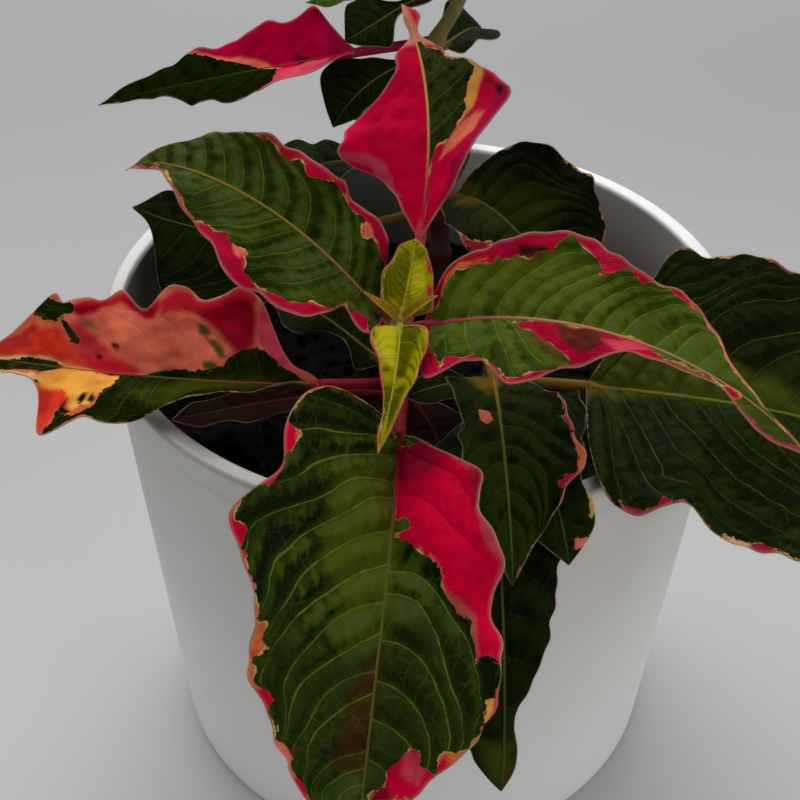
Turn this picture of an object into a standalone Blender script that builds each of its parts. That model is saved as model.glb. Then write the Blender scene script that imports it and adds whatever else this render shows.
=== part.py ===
# Potted alternanthera: three leafy stems in a filled round cover pot
# Sizes are in millimetres and angles in degrees; the meshes are built in metres
import math

import bmesh
import bpy
import numpy as np

MM = 0.001
GAP = 0.3  # clearance kept between pieces that meet
ROUND_SIDES = 48

# Pot: a plain tapered cover pot with a slightly proud rim
POT_HEIGHT = 120.0
BASE_RADIUS = 61.0
WALL_TOP_RADIUS = 68.8
RIM_RADIUS = 70.0
RIM_BAND = 7.0
RIM_STEP = 1.0
WALL = 4.0
FLOOR = 5.0
BASE_EDGE = 1.5
RIM_EDGE = 1.0
EDGE_BULGE = 0.3  # share of an edge's size at which its round passes the middle

# Soil: fills the pot and lies a little below the rim
SOIL_LEVEL = 92.0
SOIL_RINGS = 5
LUMP_HEIGHT = 1.2
LUMP_LENGTH = 5.0

# Stems: points along each middle line, then radius at the soil and at the top
STEM_SIDES = 10
NODE_SWELL = 1.25
NODE_REACH = 3.0
RING_SPACING = 1.2
STEM_TIP = 0.8
HOLE_SIDES = 24
HOLE_RISE = 6.0
STEMS = {
    "main": dict(points=((-4, -8, 80), (-4, -8, 95), (-4, -13, 102), (-4, -20, 112), (-3.5, -30, 125),
                         (-3.5, -41, 142), (-4, -44, 145.5)), radius=(2.4, 1.6)),
    "side": dict(points=((15, -9, 80), (15, -9, 95), (15, -15, 103), (15, -22, 113), (15, -27, 120),
                         (14.5, -30, 126)), radius=(2.1, 1.4)),
    "back": dict(points=((5, 28, 80), (5, 28, 95), (4, 31, 116), (3, 33, 135), (2, 35, 150),
                         (1.5, 34.5, 165), (6, 34, 173), (9, 33, 185), (10, 32, 194)), radius=(2.6, 1.2)),
}

# Colours of the materials
WHITE = (0.78, 0.78, 0.76)
EARTH = (0.035, 0.026, 0.02)
BARK = (0.42, 0.16, 0.12)
GREEN = (0.035, 0.085, 0.02)
FRESH = (0.07, 0.14, 0.025)
LIME = (0.33, 0.38, 0.05)
PINK = (0.6, 0.03, 0.12)
SALMON = (0.6, 0.15, 0.1)
DULL = (0.12, 0.05, 0.03)

# Blade and stalk of every leaf
BLADE = 0.7
RIB = 1.5
STALK_RADIUS = 1.1
STALK_RINGS = 3
START_STEP = 0.2
BLADE_ROOT = 0.6  # length over which the stalk flattens into the blade
TIP_HALF_WIDTH = 0.5
LINE_STEPS = 64
ACROSS = 3  # faces on each side of the midrib

# Waved edges: the swing starts and ends at nothing and grows towards the margin
SWING_LEAN = 0.8
SWING_ENDS = 0.7
SWING_EDGE = 1.6

# Half widths of a plain oval blade at even steps, as shares of the widest one
OVAL = (0.6, 0.88, 1, 0.97, 0.85, 0.63, 0.32)


def oval(half_width):
    return tuple(half_width * share for share in OVAL)


# Leaves: each grows from a stem at a height and follows a bent middle line
# heading: 0 right, 90 back, 180 left, 270 front; turn: change of heading to the tip
# pitch: slope at base, middle and tip; roll: sideways tilt at base and tip
# fold: rise of the left half at base and tip, then of the right half
# wave: height, count, left start and right start of the waved edges
# petiole, length: stalk and blade; start: distance of the stalk's end from the stem's middle line
# left, right: half widths at even steps from base to tip
LEAVES = {
    "leaf_front": dict(
        stem="main", height=124, heading=272, turn=-13, pitch=(22, -25, -71),
        roll=(8, -1), fold=(51, -3, 62, -16), wave=(1.8, 4, 0.1, 0.45), colour=GREEN,
        petiole=29, length=83.5,
        left=(8.5, 19, 18, 23, 21, 23, 22.5, 19.5, 13, 7, 3.5),
        right=(24.5, 30.5, 28, 34, 26.5, 23, 23, 18, 15, 12, 6)),
    "leaf_right": dict(
        stem="main", height=141, heading=-31, turn=7, pitch=(37, 5, -44),
        roll=(-20, 10), fold=(33, 5, 0, -24), wave=(1.5, 4, 0.3, 0), colour=FRESH,
        petiole=6.5, length=80,
        left=(12.5, 14, 15.5, 18.5, 16.5, 12, 14, 10.5, 4, 3, 1),
        right=(14.5, 9, 11.5, 16, 9.5, 5.5, 3.5, 1, 1, 4, 3)),
    "leaf_upper_left": dict(
        stem="main", height=140, heading=208, turn=-67, pitch=(55, 38, -43),
        roll=(16, 11), fold=(-1, -1, 24, 4), wave=(1.4, 4, 0.2, 0.7), colour=FRESH,
        petiole=7.5, length=65,
        left=(9.5, 7, 14, 18, 16.5, 19.5, 12.5, 9.5, 5.5, 1.5, 1),
        right=(12, 13.5, 14, 14, 12.5, 14.5, 12.5, 10.5, 9.5, 5, 2)),
    "leaf_upright": dict(
        stem="main", height=126, heading=65, turn=46, pitch=(82, 37, 17),
        roll=(25, 7), fold=(-2, -5, 35, 6), wave=(1.2, 3, 0.1, 0.5), colour=PINK,
        petiole=26.5, length=56,
        left=(4.5, 7.5, 12.5, 19, 18.5, 16.5, 11, 6, 5, 1, 1),
        right=(5.5, 10, 13.5, 15.5, 20, 16.5, 12, 6.5, 4.5, 1, 2.5)),
    "leaf_left": dict(
        stem="main", height=112, heading=216, turn=-63, pitch=(21, 7, -15),
        roll=(-1, 6), fold=(30, -3, 50, 22), wave=(2, 4, 0, 0.4), colour=SALMON,
        petiole=21, length=74,
        left=(1, 1.5, 6.5, 12, 9.5, 20.5, 19, 21, 7, 4.5, 2.5),
        right=(6, 17, 18, 18.5, 19, 13.5, 18.5, 15, 13.5, 16.5, 6)),
    "leaf_lower_right": dict(
        stem="side", height=118, heading=-30, turn=47, pitch=(19, -6, -56),
        roll=(-9, -41), fold=(29, 9, 9, -10), wave=(1.8, 4, 0.6, 0.2), colour=GREEN,
        petiole=22, length=86,
        left=(17, 28.5, 29.5, 31, 27.5, 27.5, 25.5, 22, 17.5, 12, 6),
        right=(24, 31, 26.5, 30.5, 30, 31, 27.5, 23.5, 18, 12, 6)),
    "leaf_young_back": dict(
        stem="main", height=148.5, heading=74, turn=7, pitch=(54, 40, 37),
        roll=(-8, -1), fold=(30, 25, 18, 24), wave=(0.5, 2, 0.2, 0.6), colour=LIME,
        petiole=3, length=14, start=1.8, stalk=0.6, across=2,
        left=(3.5, 5, 5.5, 5.5, 4, 3.5, 3),
        right=(5.5, 5.5, 5.5, 5, 4, 3.5, 2.5)),
    "leaf_young_front": dict(
        stem="main", height=148.5, heading=273, turn=-20, pitch=(23, -24, -31),
        roll=(0, 0), fold=(25, 22, 25, 23), wave=(0.4, 2, 0, 0.5), colour=LIME,
        petiole=3.5, length=26.5, start=1.4, stalk=0.6, across=2,
        left=(3.5, 5.5, 5, 4.5, 3, 2, 1),
        right=(4, 5.5, 4, 2.5, 1.5, 1, 1)),
    "leaf_front_right": dict(
        stem="side", height=124, heading=270, turn=6, pitch=(28, 1, -63),
        roll=(0, 4), fold=(14, 3, 15, 11), wave=(1, 3, 0.2, 0.6), colour=GREEN,
        petiole=9.5, length=54.5,
        left=(6, 10, 12, 12.5, 14, 14.5, 10, 7, 3),
        right=(6.5, 10, 8.5, 7.5, 8.5, 8.5, 8, 6.5, 3)),
    "leaf_top_left": dict(
        stem="back", height=165, heading=170, turn=6, pitch=(-14, -16, -19),
        roll=(1, 10), fold=(18, -6, 28, 12), wave=(1.2, 4, 0.3, 0.8), colour=PINK,
        petiole=18.5, length=64.5,
        left=(6.5, 14, 17.5, 14, 16, 13.5, 10, 5, 4.5, 1, 1),
        right=(7, 15, 13, 12.5, 10.5, 10.5, 8.5, 8, 7, 4, 3)),
    "leaf_hanging": dict(
        stem="side", height=104, heading=268, turn=8, pitch=(44, -11, -95),
        roll=(-1, -6), fold=(-2, -8, 7, 1), wave=(1.4, 4, 0.5, 0.2), colour=GREEN,
        petiole=27.5, length=89,
        left=(8, 13.5, 16, 13.5, 10.5, 9, 6, 2, 2.5),
        right=(8, 13.5, 17.5, 19, 17, 13.5, 11, 8.5, 5.5)),
    "leaf_corner": dict(
        stem="side", height=110, heading=275, turn=14, pitch=(39, 17, -62),
        roll=(0, -5), fold=(0, 8, 1, 3), wave=(1.4, 3, 0.1, 0.5), colour=GREEN,
        petiole=14, length=58.5, across=2,
        left=(5.5, 9.5, 12, 11, 8, 5.5, 6.5),
        right=(5.5, 9, 11.5, 12.5, 11, 9, 6.5)),
    "leaf_back_right": dict(
        stem="back", height=121, heading=-53, turn=-7, pitch=(73, -4, 5),
        roll=(-11, -4), fold=(48, 28, 14, 2), wave=(1.4, 3, 0.4, 0.1), colour=GREEN,
        petiole=11.5, length=50.5,
        left=(10.5, 15.5, 18.5, 20, 17.5, 15, 8.5),
        right=(8.5, 11.5, 13, 13.5, 12.5, 10, 5.5)),
    "leaf_back_left": dict(
        stem="back", height=124, heading=210, turn=-37, pitch=(-2, 3, 23),
        roll=(-6, 11), fold=(-15, -37, 3, 13), wave=(1.4, 3, 0.2, 0.6), colour=GREEN,
        petiole=16, length=57.5,
        left=(4.5, 8, 11.5, 14.5, 17.5, 20, 20.5, 16.5, 3.5),
        right=(4.5, 8, 10, 11.5, 11.5, 11, 9.5, 9, 7)),
    "leaf_back": dict(
        stem="back", height=136, heading=172, turn=9, pitch=(4, -13, -19),
        roll=(-4, -3), fold=(-5, -15, 3, 21), wave=(1, 3, 0.3, 0.7), colour=GREEN,
        petiole=8.5, length=34.5, across=2,
        left=(3, 5, 7, 8.5, 9.5, 8.5, 5),
        right=(2.5, 4, 5, 7, 9, 10.5, 7)),
    "leaf_top_under": dict(
        stem="back", height=160, heading=183, turn=17, pitch=(5, -35, -59),
        roll=(11, 20), fold=(-7, -12, 11, 18), wave=(0.6, 2, 0.2, 0.6), colour=GREEN,
        petiole=4, length=25, across=2,
        left=(1.5, 2, 4, 6, 4.5, 4, 2.5),
        right=(2, 3, 5.5, 8.5, 11, 10, 5)),
    "leaf_top_right": dict(
        stem="back", height=163, heading=65, turn=0, pitch=(-17, -9, -46),
        roll=(-18, -11), fold=(20, 34, -7, 18), wave=(0.8, 2, 0.1, 0.5), colour=GREEN,
        petiole=4.5, length=25.5, across=2,
        left=(3, 4.5, 6, 7.5, 8, 6.5, 3),
        right=(4, 4.5, 4.5, 5.5, 7, 6, 3.5)),
    "leaf_top_back": dict(
        stem="back", height=178, heading=186, turn=1, pitch=(1, -30, -29),
        roll=(6, 21), fold=(-7, -22, 11, 17), wave=(0.8, 2, 0.4, 0.8), colour=GREEN,
        petiole=4, length=24.5, across=2,
        left=(1.5, 1.5, 2, 3, 6.5, 5, 3),
        right=(1.5, 2, 2, 4, 6, 7.5, 7)),
    "leaf_top_green": dict(
        stem="back", height=186, heading=153, turn=1, pitch=(9, -37, -17),
        roll=(9, 11), fold=(-14, -17, 0, 0), wave=(1, 3, 0.2, 0.6), colour=GREEN,
        petiole=3.5, length=44, across=2,
        left=(3, 5, 6.5, 7, 6, 4, 2),
        right=(4.5, 7.5, 10, 11, 10.5, 8.5, 4.5)),
    "leaf_inner_left": dict(
        stem="main", height=119, heading=144, turn=17, pitch=(0, 24, -22),
        roll=(17, 3), fold=(-22, 0, 10, 10), wave=(0.8, 3, 0.3, 0.6), colour=GREEN,
        petiole=5, length=29, across=2,
        left=(4.5, 2.5, 2, 2.5, 7, 7, 4),
        right=(2.5, 3, 4, 5.5, 7, 6, 3.5)),
    "leaf_inner_right": dict(
        stem="side", height=114, heading=214, turn=-15, pitch=(40, 8, -15),
        roll=(2, 6), fold=(6, 1, 10, 10), wave=(0.5, 2, 0.3, 0.6), colour=GREEN,
        petiole=5, length=16, start=3.6, across=2,
        left=(2, 3, 4.5, 5.5, 4.5, 4, 3),
        right=(2, 3, 4, 4.5, 4, 3.5, 2)),
    "leaf_inner_front": dict(
        stem="main", height=103, heading=291, turn=-8, pitch=(30, 13, -21),
        roll=(0, 0), fold=(10, 5, 10, 5), wave=(0.8, 2, 0.1, 0.4), colour=DULL,
        petiole=10, length=31, across=2,
        left=(3.5, 6, 7.5, 8, 7, 5.5, 3),
        right=(3.5, 6, 7.5, 8, 7, 5.5, 3)),
    "leaf_low_left": dict(
        stem="main", height=101, heading=183, turn=7, pitch=(14, -7, -7),
        roll=(-2, 1), fold=(15, 5, 12, 8), wave=(0.8, 3, 0.2, 0.5), colour=GREEN,
        petiole=14, length=38, across=2,
        left=(4, 6.5, 7.5, 7, 6, 5, 3.5),
        right=(4, 6, 6.5, 5, 4, 4.5, 3.5)),
    "leaf_rear": dict(
        stem="back", height=112, heading=101, turn=0, pitch=(40, 5, -55),
        roll=(0, 0), fold=(10, 5, 10, 5), wave=(1, 3, 0.2, 0.6), colour=GREEN,
        petiole=12, length=58, across=2,
        left=oval(16), right=oval(14)),
    "leaf_rear_right": dict(
        stem="side", height=109, heading=72, turn=-2, pitch=(38, 14, -35),
        roll=(0, 0), fold=(10, 5, 10, 5), wave=(1, 3, 0.2, 0.6), colour=GREEN,
        petiole=14, length=50, across=2,
        left=oval(12), right=oval(12)),
    "leaf_crown_back": dict(
        stem="back", height=187, heading=95, turn=0, pitch=(35, 10, -20),
        roll=(0, 0), fold=(10, 5, 10, 5), wave=(1, 3, 0.2, 0.6), colour=GREEN,
        petiole=5, length=40, across=2,
        left=oval(11), right=oval(11)),
    "leaf_crown_front": dict(
        stem="back", height=189, heading=275, turn=0, pitch=(50, 25, 0),
        roll=(0, 0), fold=(10, 5, 10, 5), wave=(1, 3, 0.2, 0.6), colour=GREEN,
        petiole=6.5, length=31.5, across=2,
        left=oval(9.5), right=oval(9.5)),
    "leaf_crown_left": dict(
        stem="back", height=194, heading=185, turn=0, pitch=(50, 35, 15),
        roll=(0, 0), fold=(10, 5, 10, 5), wave=(0.4, 2, 0.2, 0.6), colour=GREEN,
        petiole=3, length=20, start=1.4, stalk=0.7, across=2,
        left=oval(5.5), right=oval(5.5)),
    "leaf_crown_right": dict(
        stem="back", height=194, heading=5, turn=0, pitch=(50, 35, 15),
        roll=(0, 0), fold=(10, 5, 10, 5), wave=(0.4, 2, 0.2, 0.6), colour=GREEN,
        petiole=3, length=22, start=1.4, stalk=0.7, across=2,
        left=oval(6), right=oval(6)),
}


def clear_scene():
    for thing in list(bpy.data.objects):
        bpy.data.objects.remove(thing, do_unlink=True)


def material(name, colour, roughness, metallic=0.0):
    made = bpy.data.materials.new(name)
    made.use_nodes = True
    shader = made.node_tree.nodes["Principled BSDF"]
    shader.inputs["Base Color"].default_value = (*colour, 1.0)
    shader.inputs["Roughness"].default_value = roughness
    shader.inputs["Metallic"].default_value = metallic
    return made


def solid(name, points, faces, look):
    """One closed body from points in millimetres."""
    mesh = bpy.data.meshes.new(name)
    mesh.from_pydata([tuple(MM * float(v) for v in p) for p in points], [], faces)
    work = bmesh.new()
    work.from_mesh(mesh)
    bmesh.ops.recalc_face_normals(work, faces=work.faces)
    work.to_mesh(mesh)
    work.free()
    mesh.polygons.foreach_set("use_smooth", [look is not None] * len(mesh.polygons))
    if look:
        mesh.materials.append(look)
    made = bpy.data.objects.new(name, mesh)
    bpy.context.scene.collection.objects.link(made)
    return made


def rings_to_solid(name, rings, look):
    """Join rings of one even count with triangles that lie alike on both faces, and close both ends."""
    count = len(rings[0])
    half = count // 2
    faces = []
    for row in range(len(rings) - 1):
        for k in range(count):
            a, b = row * count + k, row * count + (k + 1) % count
            above_a, above_b = a + count, b + count
            if k < half:
                faces += [(a, b, above_b), (a, above_b, above_a)]
            else:
                faces += [(a, b, above_a), (b, above_b, above_a)]
    for first in (0, (len(rings) - 1) * count):
        for k in range(half - 1):
            faces.append((first + k, first + k + 1, first + count - 2 - k, first + count - 1 - k))
    return solid(name, [p for ring in rings for p in ring], faces, look)


def circle(centre, radius, sides):
    x, y, z = centre
    turns = [2 * math.pi * k / sides for k in range(sides)]
    return [(x + radius * math.cos(t), y + radius * math.sin(t), z) for t in turns]


def turned(name, profile, look, lift=None):
    """Turn a profile of (radius, height) about the upright axis."""
    points = []
    faces = []
    rows = []
    for radius, height in profile:
        ring = circle((0, 0, height), radius, ROUND_SIDES) if radius else [(0, 0, height)]
        rows.append([len(points) + k % len(ring) for k in range(ROUND_SIDES)])
        points += [(x, y, z + (lift(x, y, z) if lift else 0)) for x, y, z in ring]
    for low, high in zip(rows[:-1], rows[1:]):
        for k in range(ROUND_SIDES):
            after = (k + 1) % ROUND_SIDES
            corners = [low[k], low[after], high[after], high[k]]
            faces.append(tuple(dict.fromkeys(corners)))
    return solid(name, points, faces, look)


def round_edge(radius, height, inward, upward, size):
    """Three points of a small rounded edge from its outer start to its flat end."""
    bulge = EDGE_BULGE * size
    return [(radius, height - upward * size), (radius - inward * bulge, height - upward * bulge),
            (radius - inward * size, height)]


def make_pot():
    band = POT_HEIGHT - RIM_BAND
    profile = [(0, 0)]
    profile += round_edge(BASE_RADIUS, 0, 1, -1, BASE_EDGE)[::-1]
    profile += [(WALL_TOP_RADIUS, band - RIM_STEP), (RIM_RADIUS, band)]
    profile += round_edge(RIM_RADIUS, POT_HEIGHT, 1, 1, RIM_EDGE)
    profile += round_edge(RIM_RADIUS - WALL, POT_HEIGHT, -1, 1, RIM_EDGE)[::-1]
    profile += [(BASE_RADIUS - WALL, FLOOR), (0, FLOOR)]
    return turned("pot", profile, material("pot_white", WHITE, 0.45))


def inner_radius(height):
    share = (height - FLOOR) / (POT_HEIGHT - RIM_EDGE - FLOOR)
    return BASE_RADIUS - WALL + share * (RIM_RADIUS - BASE_RADIUS)


def make_soil():
    low = FLOOR + GAP
    edge = inner_radius(SOIL_LEVEL) - GAP

    def lumps(x, y, height):
        if height < SOIL_LEVEL or math.hypot(x, y) > edge - GAP:
            return 0.0
        return LUMP_HEIGHT * math.sin(x / LUMP_LENGTH) * math.cos(y / LUMP_LENGTH)

    profile = [(0, low), (inner_radius(low) - GAP, low)]
    profile += [(edge * step / SOIL_RINGS, SOIL_LEVEL) for step in range(SOIL_RINGS, -1, -1)]
    soil = turned("soil", profile, material("soil_dark", EARTH, 0.95), lumps)
    for name, stem in STEMS.items():
        drill(soil, name, stem)
    return soil


def drill(soil, name, stem):
    """Cut the plain hole that a stem stands in."""
    x, y, bottom = stem["points"][0]
    rings = [circle((x, y, z), stem["radius"][0] + GAP, HOLE_SIDES)
             for z in (bottom - GAP, SOIL_LEVEL + HOLE_RISE)]
    cutter = rings_to_solid("hole_" + name, rings, None)
    cutter.hide_render = True
    cutter.display_type = "WIRE"
    cut = soil.modifiers.new("hole_" + name, "BOOLEAN")
    cut.operation = "DIFFERENCE"
    cut.solver = "EXACT"
    cut.object = cutter


def unit(vector):
    return vector / np.linalg.norm(vector)


def stem_radius(stem, height):
    base, top = STEMS[stem]["radius"]
    low, high = STEMS[stem]["points"][1][2], STEMS[stem]["points"][-1][2]
    return base + (top - base) * min(max((height - low) / (high - low), 0), 1)


def stem_at(stem, height):
    """Middle point and direction of a stem at a height."""
    points = np.array(STEMS[stem]["points"], float)
    place = np.array([np.interp(height, points[:, 2], points[:, k]) for k in range(3)])
    row = min(max(int(np.searchsorted(points[:, 2], height)), 1), len(points) - 1)
    return place, unit(points[row] - points[row - 1])


def swollen_radius(stem, height):
    """Radius of a stem, thicker near the nodes where leaves grow."""
    nodes = [leaf["height"] for leaf in LEAVES.values() if leaf["stem"] == stem]
    near = min(abs(height - node) for node in nodes)
    return stem_radius(stem, height) * (1 + (NODE_SWELL - 1) * max(0, 1 - near / NODE_REACH))


def ring_heights(stem):
    """Heights of the rings: every bend and every swollen node, none too close together."""
    bends = [point[2] for point in STEMS[stem]["points"]]
    heights = set(bends)
    for leaf in LEAVES.values():
        if leaf["stem"] == stem:
            node = leaf["height"]
            heights |= {node - NODE_REACH, node, node + NODE_REACH}
    kept = [bends[0]]
    for height in sorted(h for h in heights if h <= bends[-1]):
        if height - kept[-1] > RING_SPACING:
            kept.append(height)
    return kept


def make_stem(name):
    """A tapered rod through the points."""
    rings = []
    for height in ring_heights(name):
        place, below = stem_at(name, height)
        above = stem_at(name, height + GAP)[1]
        rings.append(ring_across(place, below + above, swollen_radius(name, height)))
    top, along = stem_at(name, STEMS[name]["points"][-1][2])
    rings.append(ring_across(top + along * STEM_TIP, along, stem_radius(name, top[2]) / 2))
    return rings_to_solid("stem_" + name, rings, material("stem_" + name, BARK, 0.55))


def ring_across(place, along, radius):
    side = unit(np.cross(unit(along), (0, 1, 0.2)))
    up = np.cross(side, unit(along))
    turns = [2 * math.pi * k / STEM_SIDES for k in range(STEM_SIDES)]
    return [place + radius * (math.cos(t) * side + math.sin(t) * up) for t in turns]


def middle_line(leaf):
    """Points, headings and pitches along stalk and blade."""
    total = leaf["petiole"] + leaf["length"]
    t = np.linspace(0, 1, LINE_STEPS + 1)
    heading = np.radians(leaf["heading"] + leaf["turn"] * t)
    base, middle, tip = leaf["pitch"]
    pitch = np.radians(base * (1 - t) * (1 - 2 * t) + middle * 4 * t * (1 - t) + tip * t * (2 * t - 1))
    step = np.stack([np.cos(pitch) * np.cos(heading), np.cos(pitch) * np.sin(heading), np.sin(pitch)], 1)
    moves = (step[1:] + step[:-1]) * total / (2 * LINE_STEPS)
    line = stem_at(leaf["stem"], leaf["height"])[0] + np.vstack([np.zeros(3), np.cumsum(moves, 0)])
    return t * total, line, heading, pitch


def frame_at(line, distance):
    """Place, sideways, upward and forward directions at a distance along the middle line."""
    along, points, heading, pitch = line
    place = np.array([np.interp(distance, along, points[:, k]) for k in range(3)])
    h = np.interp(distance, along, heading)
    p = np.interp(distance, along, pitch)
    forward = np.array([math.cos(p) * math.cos(h), math.cos(p) * math.sin(h), math.sin(p)])
    side = np.array([math.sin(h), -math.cos(h), 0])
    return place, side, np.cross(side, forward), forward


def stalk_ring(line, distance, radius, count):
    """A round section, upper points from left to right and then the lower ones back."""
    turns = [math.pi * (1 - (2 * k + 1) / count) for k in range(count)]
    place, side, up, _ = frame_at(line, distance)
    return [place + radius * (math.cos(t) * side + math.sin(t) * up) for t in turns]


def stalk_start(leaf, line, radius, count):
    """Distance at which the end of the stalk just stands clear of its stem."""
    stem = leaf["stem"]
    heights = np.arange(SOIL_LEVEL, STEMS[stem]["points"][-1][2], START_STEP)
    axis = np.array([stem_at(stem, h)[0] for h in heights])
    reach = np.array([swollen_radius(stem, h) for h in heights])
    start = 0.0
    while start < leaf["petiole"]:
        ring = np.array(stalk_ring(line, start, radius, count))
        apart = np.linalg.norm(ring[:, None] - axis, axis=2) - reach
        if apart.min() > GAP:
            break
        start += START_STEP
    return start


def blade_row(leaf, line, share, left, right, across):
    """Middle surface of the blade across one step."""
    place, side, up, _ = frame_at(line, leaf["petiole"] + share * leaf["length"])
    roll = math.radians(leaf["roll"][0] + (leaf["roll"][1] - leaf["roll"][0]) * share)
    side, up = side * math.cos(roll) + up * math.sin(roll), up * math.cos(roll) - side * math.sin(roll)
    height, count, left_start, right_start = leaf["wave"]
    halves = {-1: (left, leaf["fold"][:2], left_start), 1: (right, leaf["fold"][2:], right_start)}
    swing = height * max(math.sin(math.pi * share ** SWING_LEAN), 0) ** SWING_ENDS
    row = []
    for k in range(-across, across + 1):
        out = k / across
        width, folds, start = halves[-1 if k < 0 else 1]
        fold = math.radians(folds[0] + (folds[1] - folds[0]) * share)
        wave = swing * abs(out) ** SWING_EDGE * math.sin(2 * math.pi * (count * share + start))
        rise = abs(out) * width * math.sin(fold) + wave
        row.append(place + out * width * math.cos(fold) * side + rise * up)
    return row


def surface_normals(grid):
    normals = np.cross(np.gradient(grid, axis=1), np.gradient(grid, axis=0))
    return normals / np.linalg.norm(normals, axis=2, keepdims=True)


def make_leaf(name, leaf):
    """Stalk and blade as one closed body."""
    line = middle_line(leaf)
    radius = leaf.get("stalk", STALK_RADIUS)
    across = leaf.get("across", ACROSS)
    lefts = (radius, *leaf["left"], TIP_HALF_WIDTH)
    rights = (radius, *leaf["right"], TIP_HALF_WIDTH)
    shares = np.linspace(0, 1, len(lefts))
    grid = np.array([blade_row(leaf, line, s, a, b, across) for s, a, b in zip(shares, lefts, rights)])
    normals = surface_normals(grid)
    count = 2 * (2 * across + 1)
    start = leaf.get("start") or stalk_start(leaf, line, radius, count)
    stops = np.linspace(start, leaf["petiole"] - BLADE_ROOT, STALK_RINGS)
    rings = [stalk_ring(line, distance, radius, count) for distance in stops]
    for row, share in enumerate(shares):
        thick = np.full((2 * across + 1, 1), BLADE)
        thick[across] = RIB + (BLADE - RIB) * share
        lift = thick * normals[row] / 2
        rings.append([*(grid[row] + lift), *(grid[row] - lift)[::-1]])
    return rings_to_solid(name, rings, material(name, leaf["colour"], 0.45))


clear_scene()
make_pot()
make_soil()
for stem_name in STEMS:
    make_stem(stem_name)
for leaf_name, leaf_sizes in LEAVES.items():
    make_leaf(leaf_name, leaf_sizes)
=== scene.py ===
import math

import bpy
import mathutils
import numpy as np
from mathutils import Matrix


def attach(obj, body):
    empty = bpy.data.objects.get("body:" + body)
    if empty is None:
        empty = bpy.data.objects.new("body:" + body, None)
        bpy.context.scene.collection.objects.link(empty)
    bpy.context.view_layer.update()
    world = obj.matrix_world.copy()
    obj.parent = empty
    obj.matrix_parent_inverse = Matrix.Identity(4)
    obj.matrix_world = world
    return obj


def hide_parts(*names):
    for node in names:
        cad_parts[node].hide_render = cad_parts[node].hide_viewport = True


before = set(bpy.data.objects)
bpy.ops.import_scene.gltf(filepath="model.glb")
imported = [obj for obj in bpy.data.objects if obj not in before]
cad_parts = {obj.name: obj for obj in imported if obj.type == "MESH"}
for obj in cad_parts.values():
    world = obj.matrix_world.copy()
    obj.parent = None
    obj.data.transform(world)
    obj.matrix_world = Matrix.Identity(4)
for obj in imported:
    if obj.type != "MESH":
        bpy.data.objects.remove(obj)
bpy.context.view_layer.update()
scene = bpy.context.scene
mm = 0.001

view = {
    "place": (0.0, -271.2, 316.5),  # camera in mm
    "turn": (50.163, -0.587, 1.435),  # degrees about x, y and z
    "lens": 67.5,
    "sensor": 36.0,
    "pixels": 800,  # side of the photo
}

light = {
    "skyColour": (0.95, 0.97, 1.0, 1.0),
    "skyStrength": 0.43,
    "keyPlace": (-150, 850, 1100),  # mm, a wide soft box high behind the left side
    "keySize": 1300,
    "keyPower": 15.5,
    "fillPlace": (750, -650, 250),
    "fillSize": 460,
    "fillPower": 1.6,
}

floorLook = {
    "size": 4000,  # mm
    "cells": 8,
    # painted light: the floor is paler near the camera and darker far behind the pot
    "near": (0.60, 0.60, 0.59, 1.0),
    "far": (0.335, 0.338, 0.33, 1.0),
    "nearY": -0.16,  # metres, where the painted light on the floor is brightest
    "farY": 0.38,
}


# Shader helpers

def setSocket(tree, socket, value):
    if isinstance(value, bpy.types.NodeSocket):
        tree.links.new(value, socket)
    elif socket.type == "RGBA" and len(value) == 3:
        socket.default_value = (*value, 1)
    else:
        socket.default_value = value


def addNode(tree, kind, values=(), **settings):
    made = tree.nodes.new("ShaderNode" + kind)
    for key, value in settings.items():
        setattr(made, key, value)
    for key, value in dict(values).items():
        setSocket(tree, made.inputs[key], value)
    return made


def calc(tree, operation, *values):
    return addNode(tree, "Math", enumerate(values), operation=operation).outputs[0]


def times(tree, first, second):
    return calc(tree, "MULTIPLY", first, second)


def less(tree, first, second):
    return calc(tree, "SUBTRACT", first, second)


def total(tree, *values):
    result = values[0]
    for value in values[1:]:
        result = calc(tree, "ADD", result, value)
    return result


def mixed(tree, share, first, second, way="MIX"):
    made = addNode(tree, "Mix", {0: share, 6: first, 7: second}, data_type="RGBA", blend_type=way)
    return made.outputs[2]


def rise(tree, value, low, high, start=0.0, end=1.0):
    made = addNode(tree, "MapRange", {"Value": value, "From Min": low, "From Max": high,
                                      "To Min": start, "To Max": end}, interpolation_type="SMOOTHSTEP")
    return made.outputs["Result"]


def clouds(tree, place, scale, detail=2.0, roughness=0.5):
    made = addNode(tree, "TexNoise", {"Vector": place, "Scale": scale, "Detail": detail,
                                      "Roughness": roughness})
    return made.outputs[0]


def swings(tree, place, scale, reach, detail=2.0):
    # noise about zero, as far as reach each way
    return times(tree, less(tree, clouds(tree, place, scale, detail), 0.5), 2 * reach)


def axes(tree, place):
    return addNode(tree, "SeparateXYZ", {0: place}).outputs


def newGroup(name, inputs, outputs):
    # inputs are labels with a starting number, or None for a place; every output is a number
    group = bpy.data.node_groups.new(name, "ShaderNodeTree")
    for label, value in inputs.items():
        kind = "NodeSocketVector" if value is None else "NodeSocketFloat"
        socket = group.interface.new_socket(label, in_out="INPUT", socket_type=kind)
        if value is not None:
            socket.default_value = value
    for label in outputs:
        group.interface.new_socket(label, in_out="OUTPUT", socket_type="NodeSocketFloat")
    start = group.nodes.new("NodeGroupInput")
    end = group.nodes.new("NodeGroupOutput")
    return group, start.outputs, end.inputs


def finishGroup(tree, end, values):
    for key, value in values.items():
        tree.links.new(value, end[key])
    return tree


def newMaterial(name):
    made = bpy.data.materials.new(name)
    made.use_nodes = True
    tree = made.node_tree
    shader = tree.nodes["Principled BSDF"]
    place = addNode(tree, "TexCoord").outputs["Object"]
    return made, tree, shader, place


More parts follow.
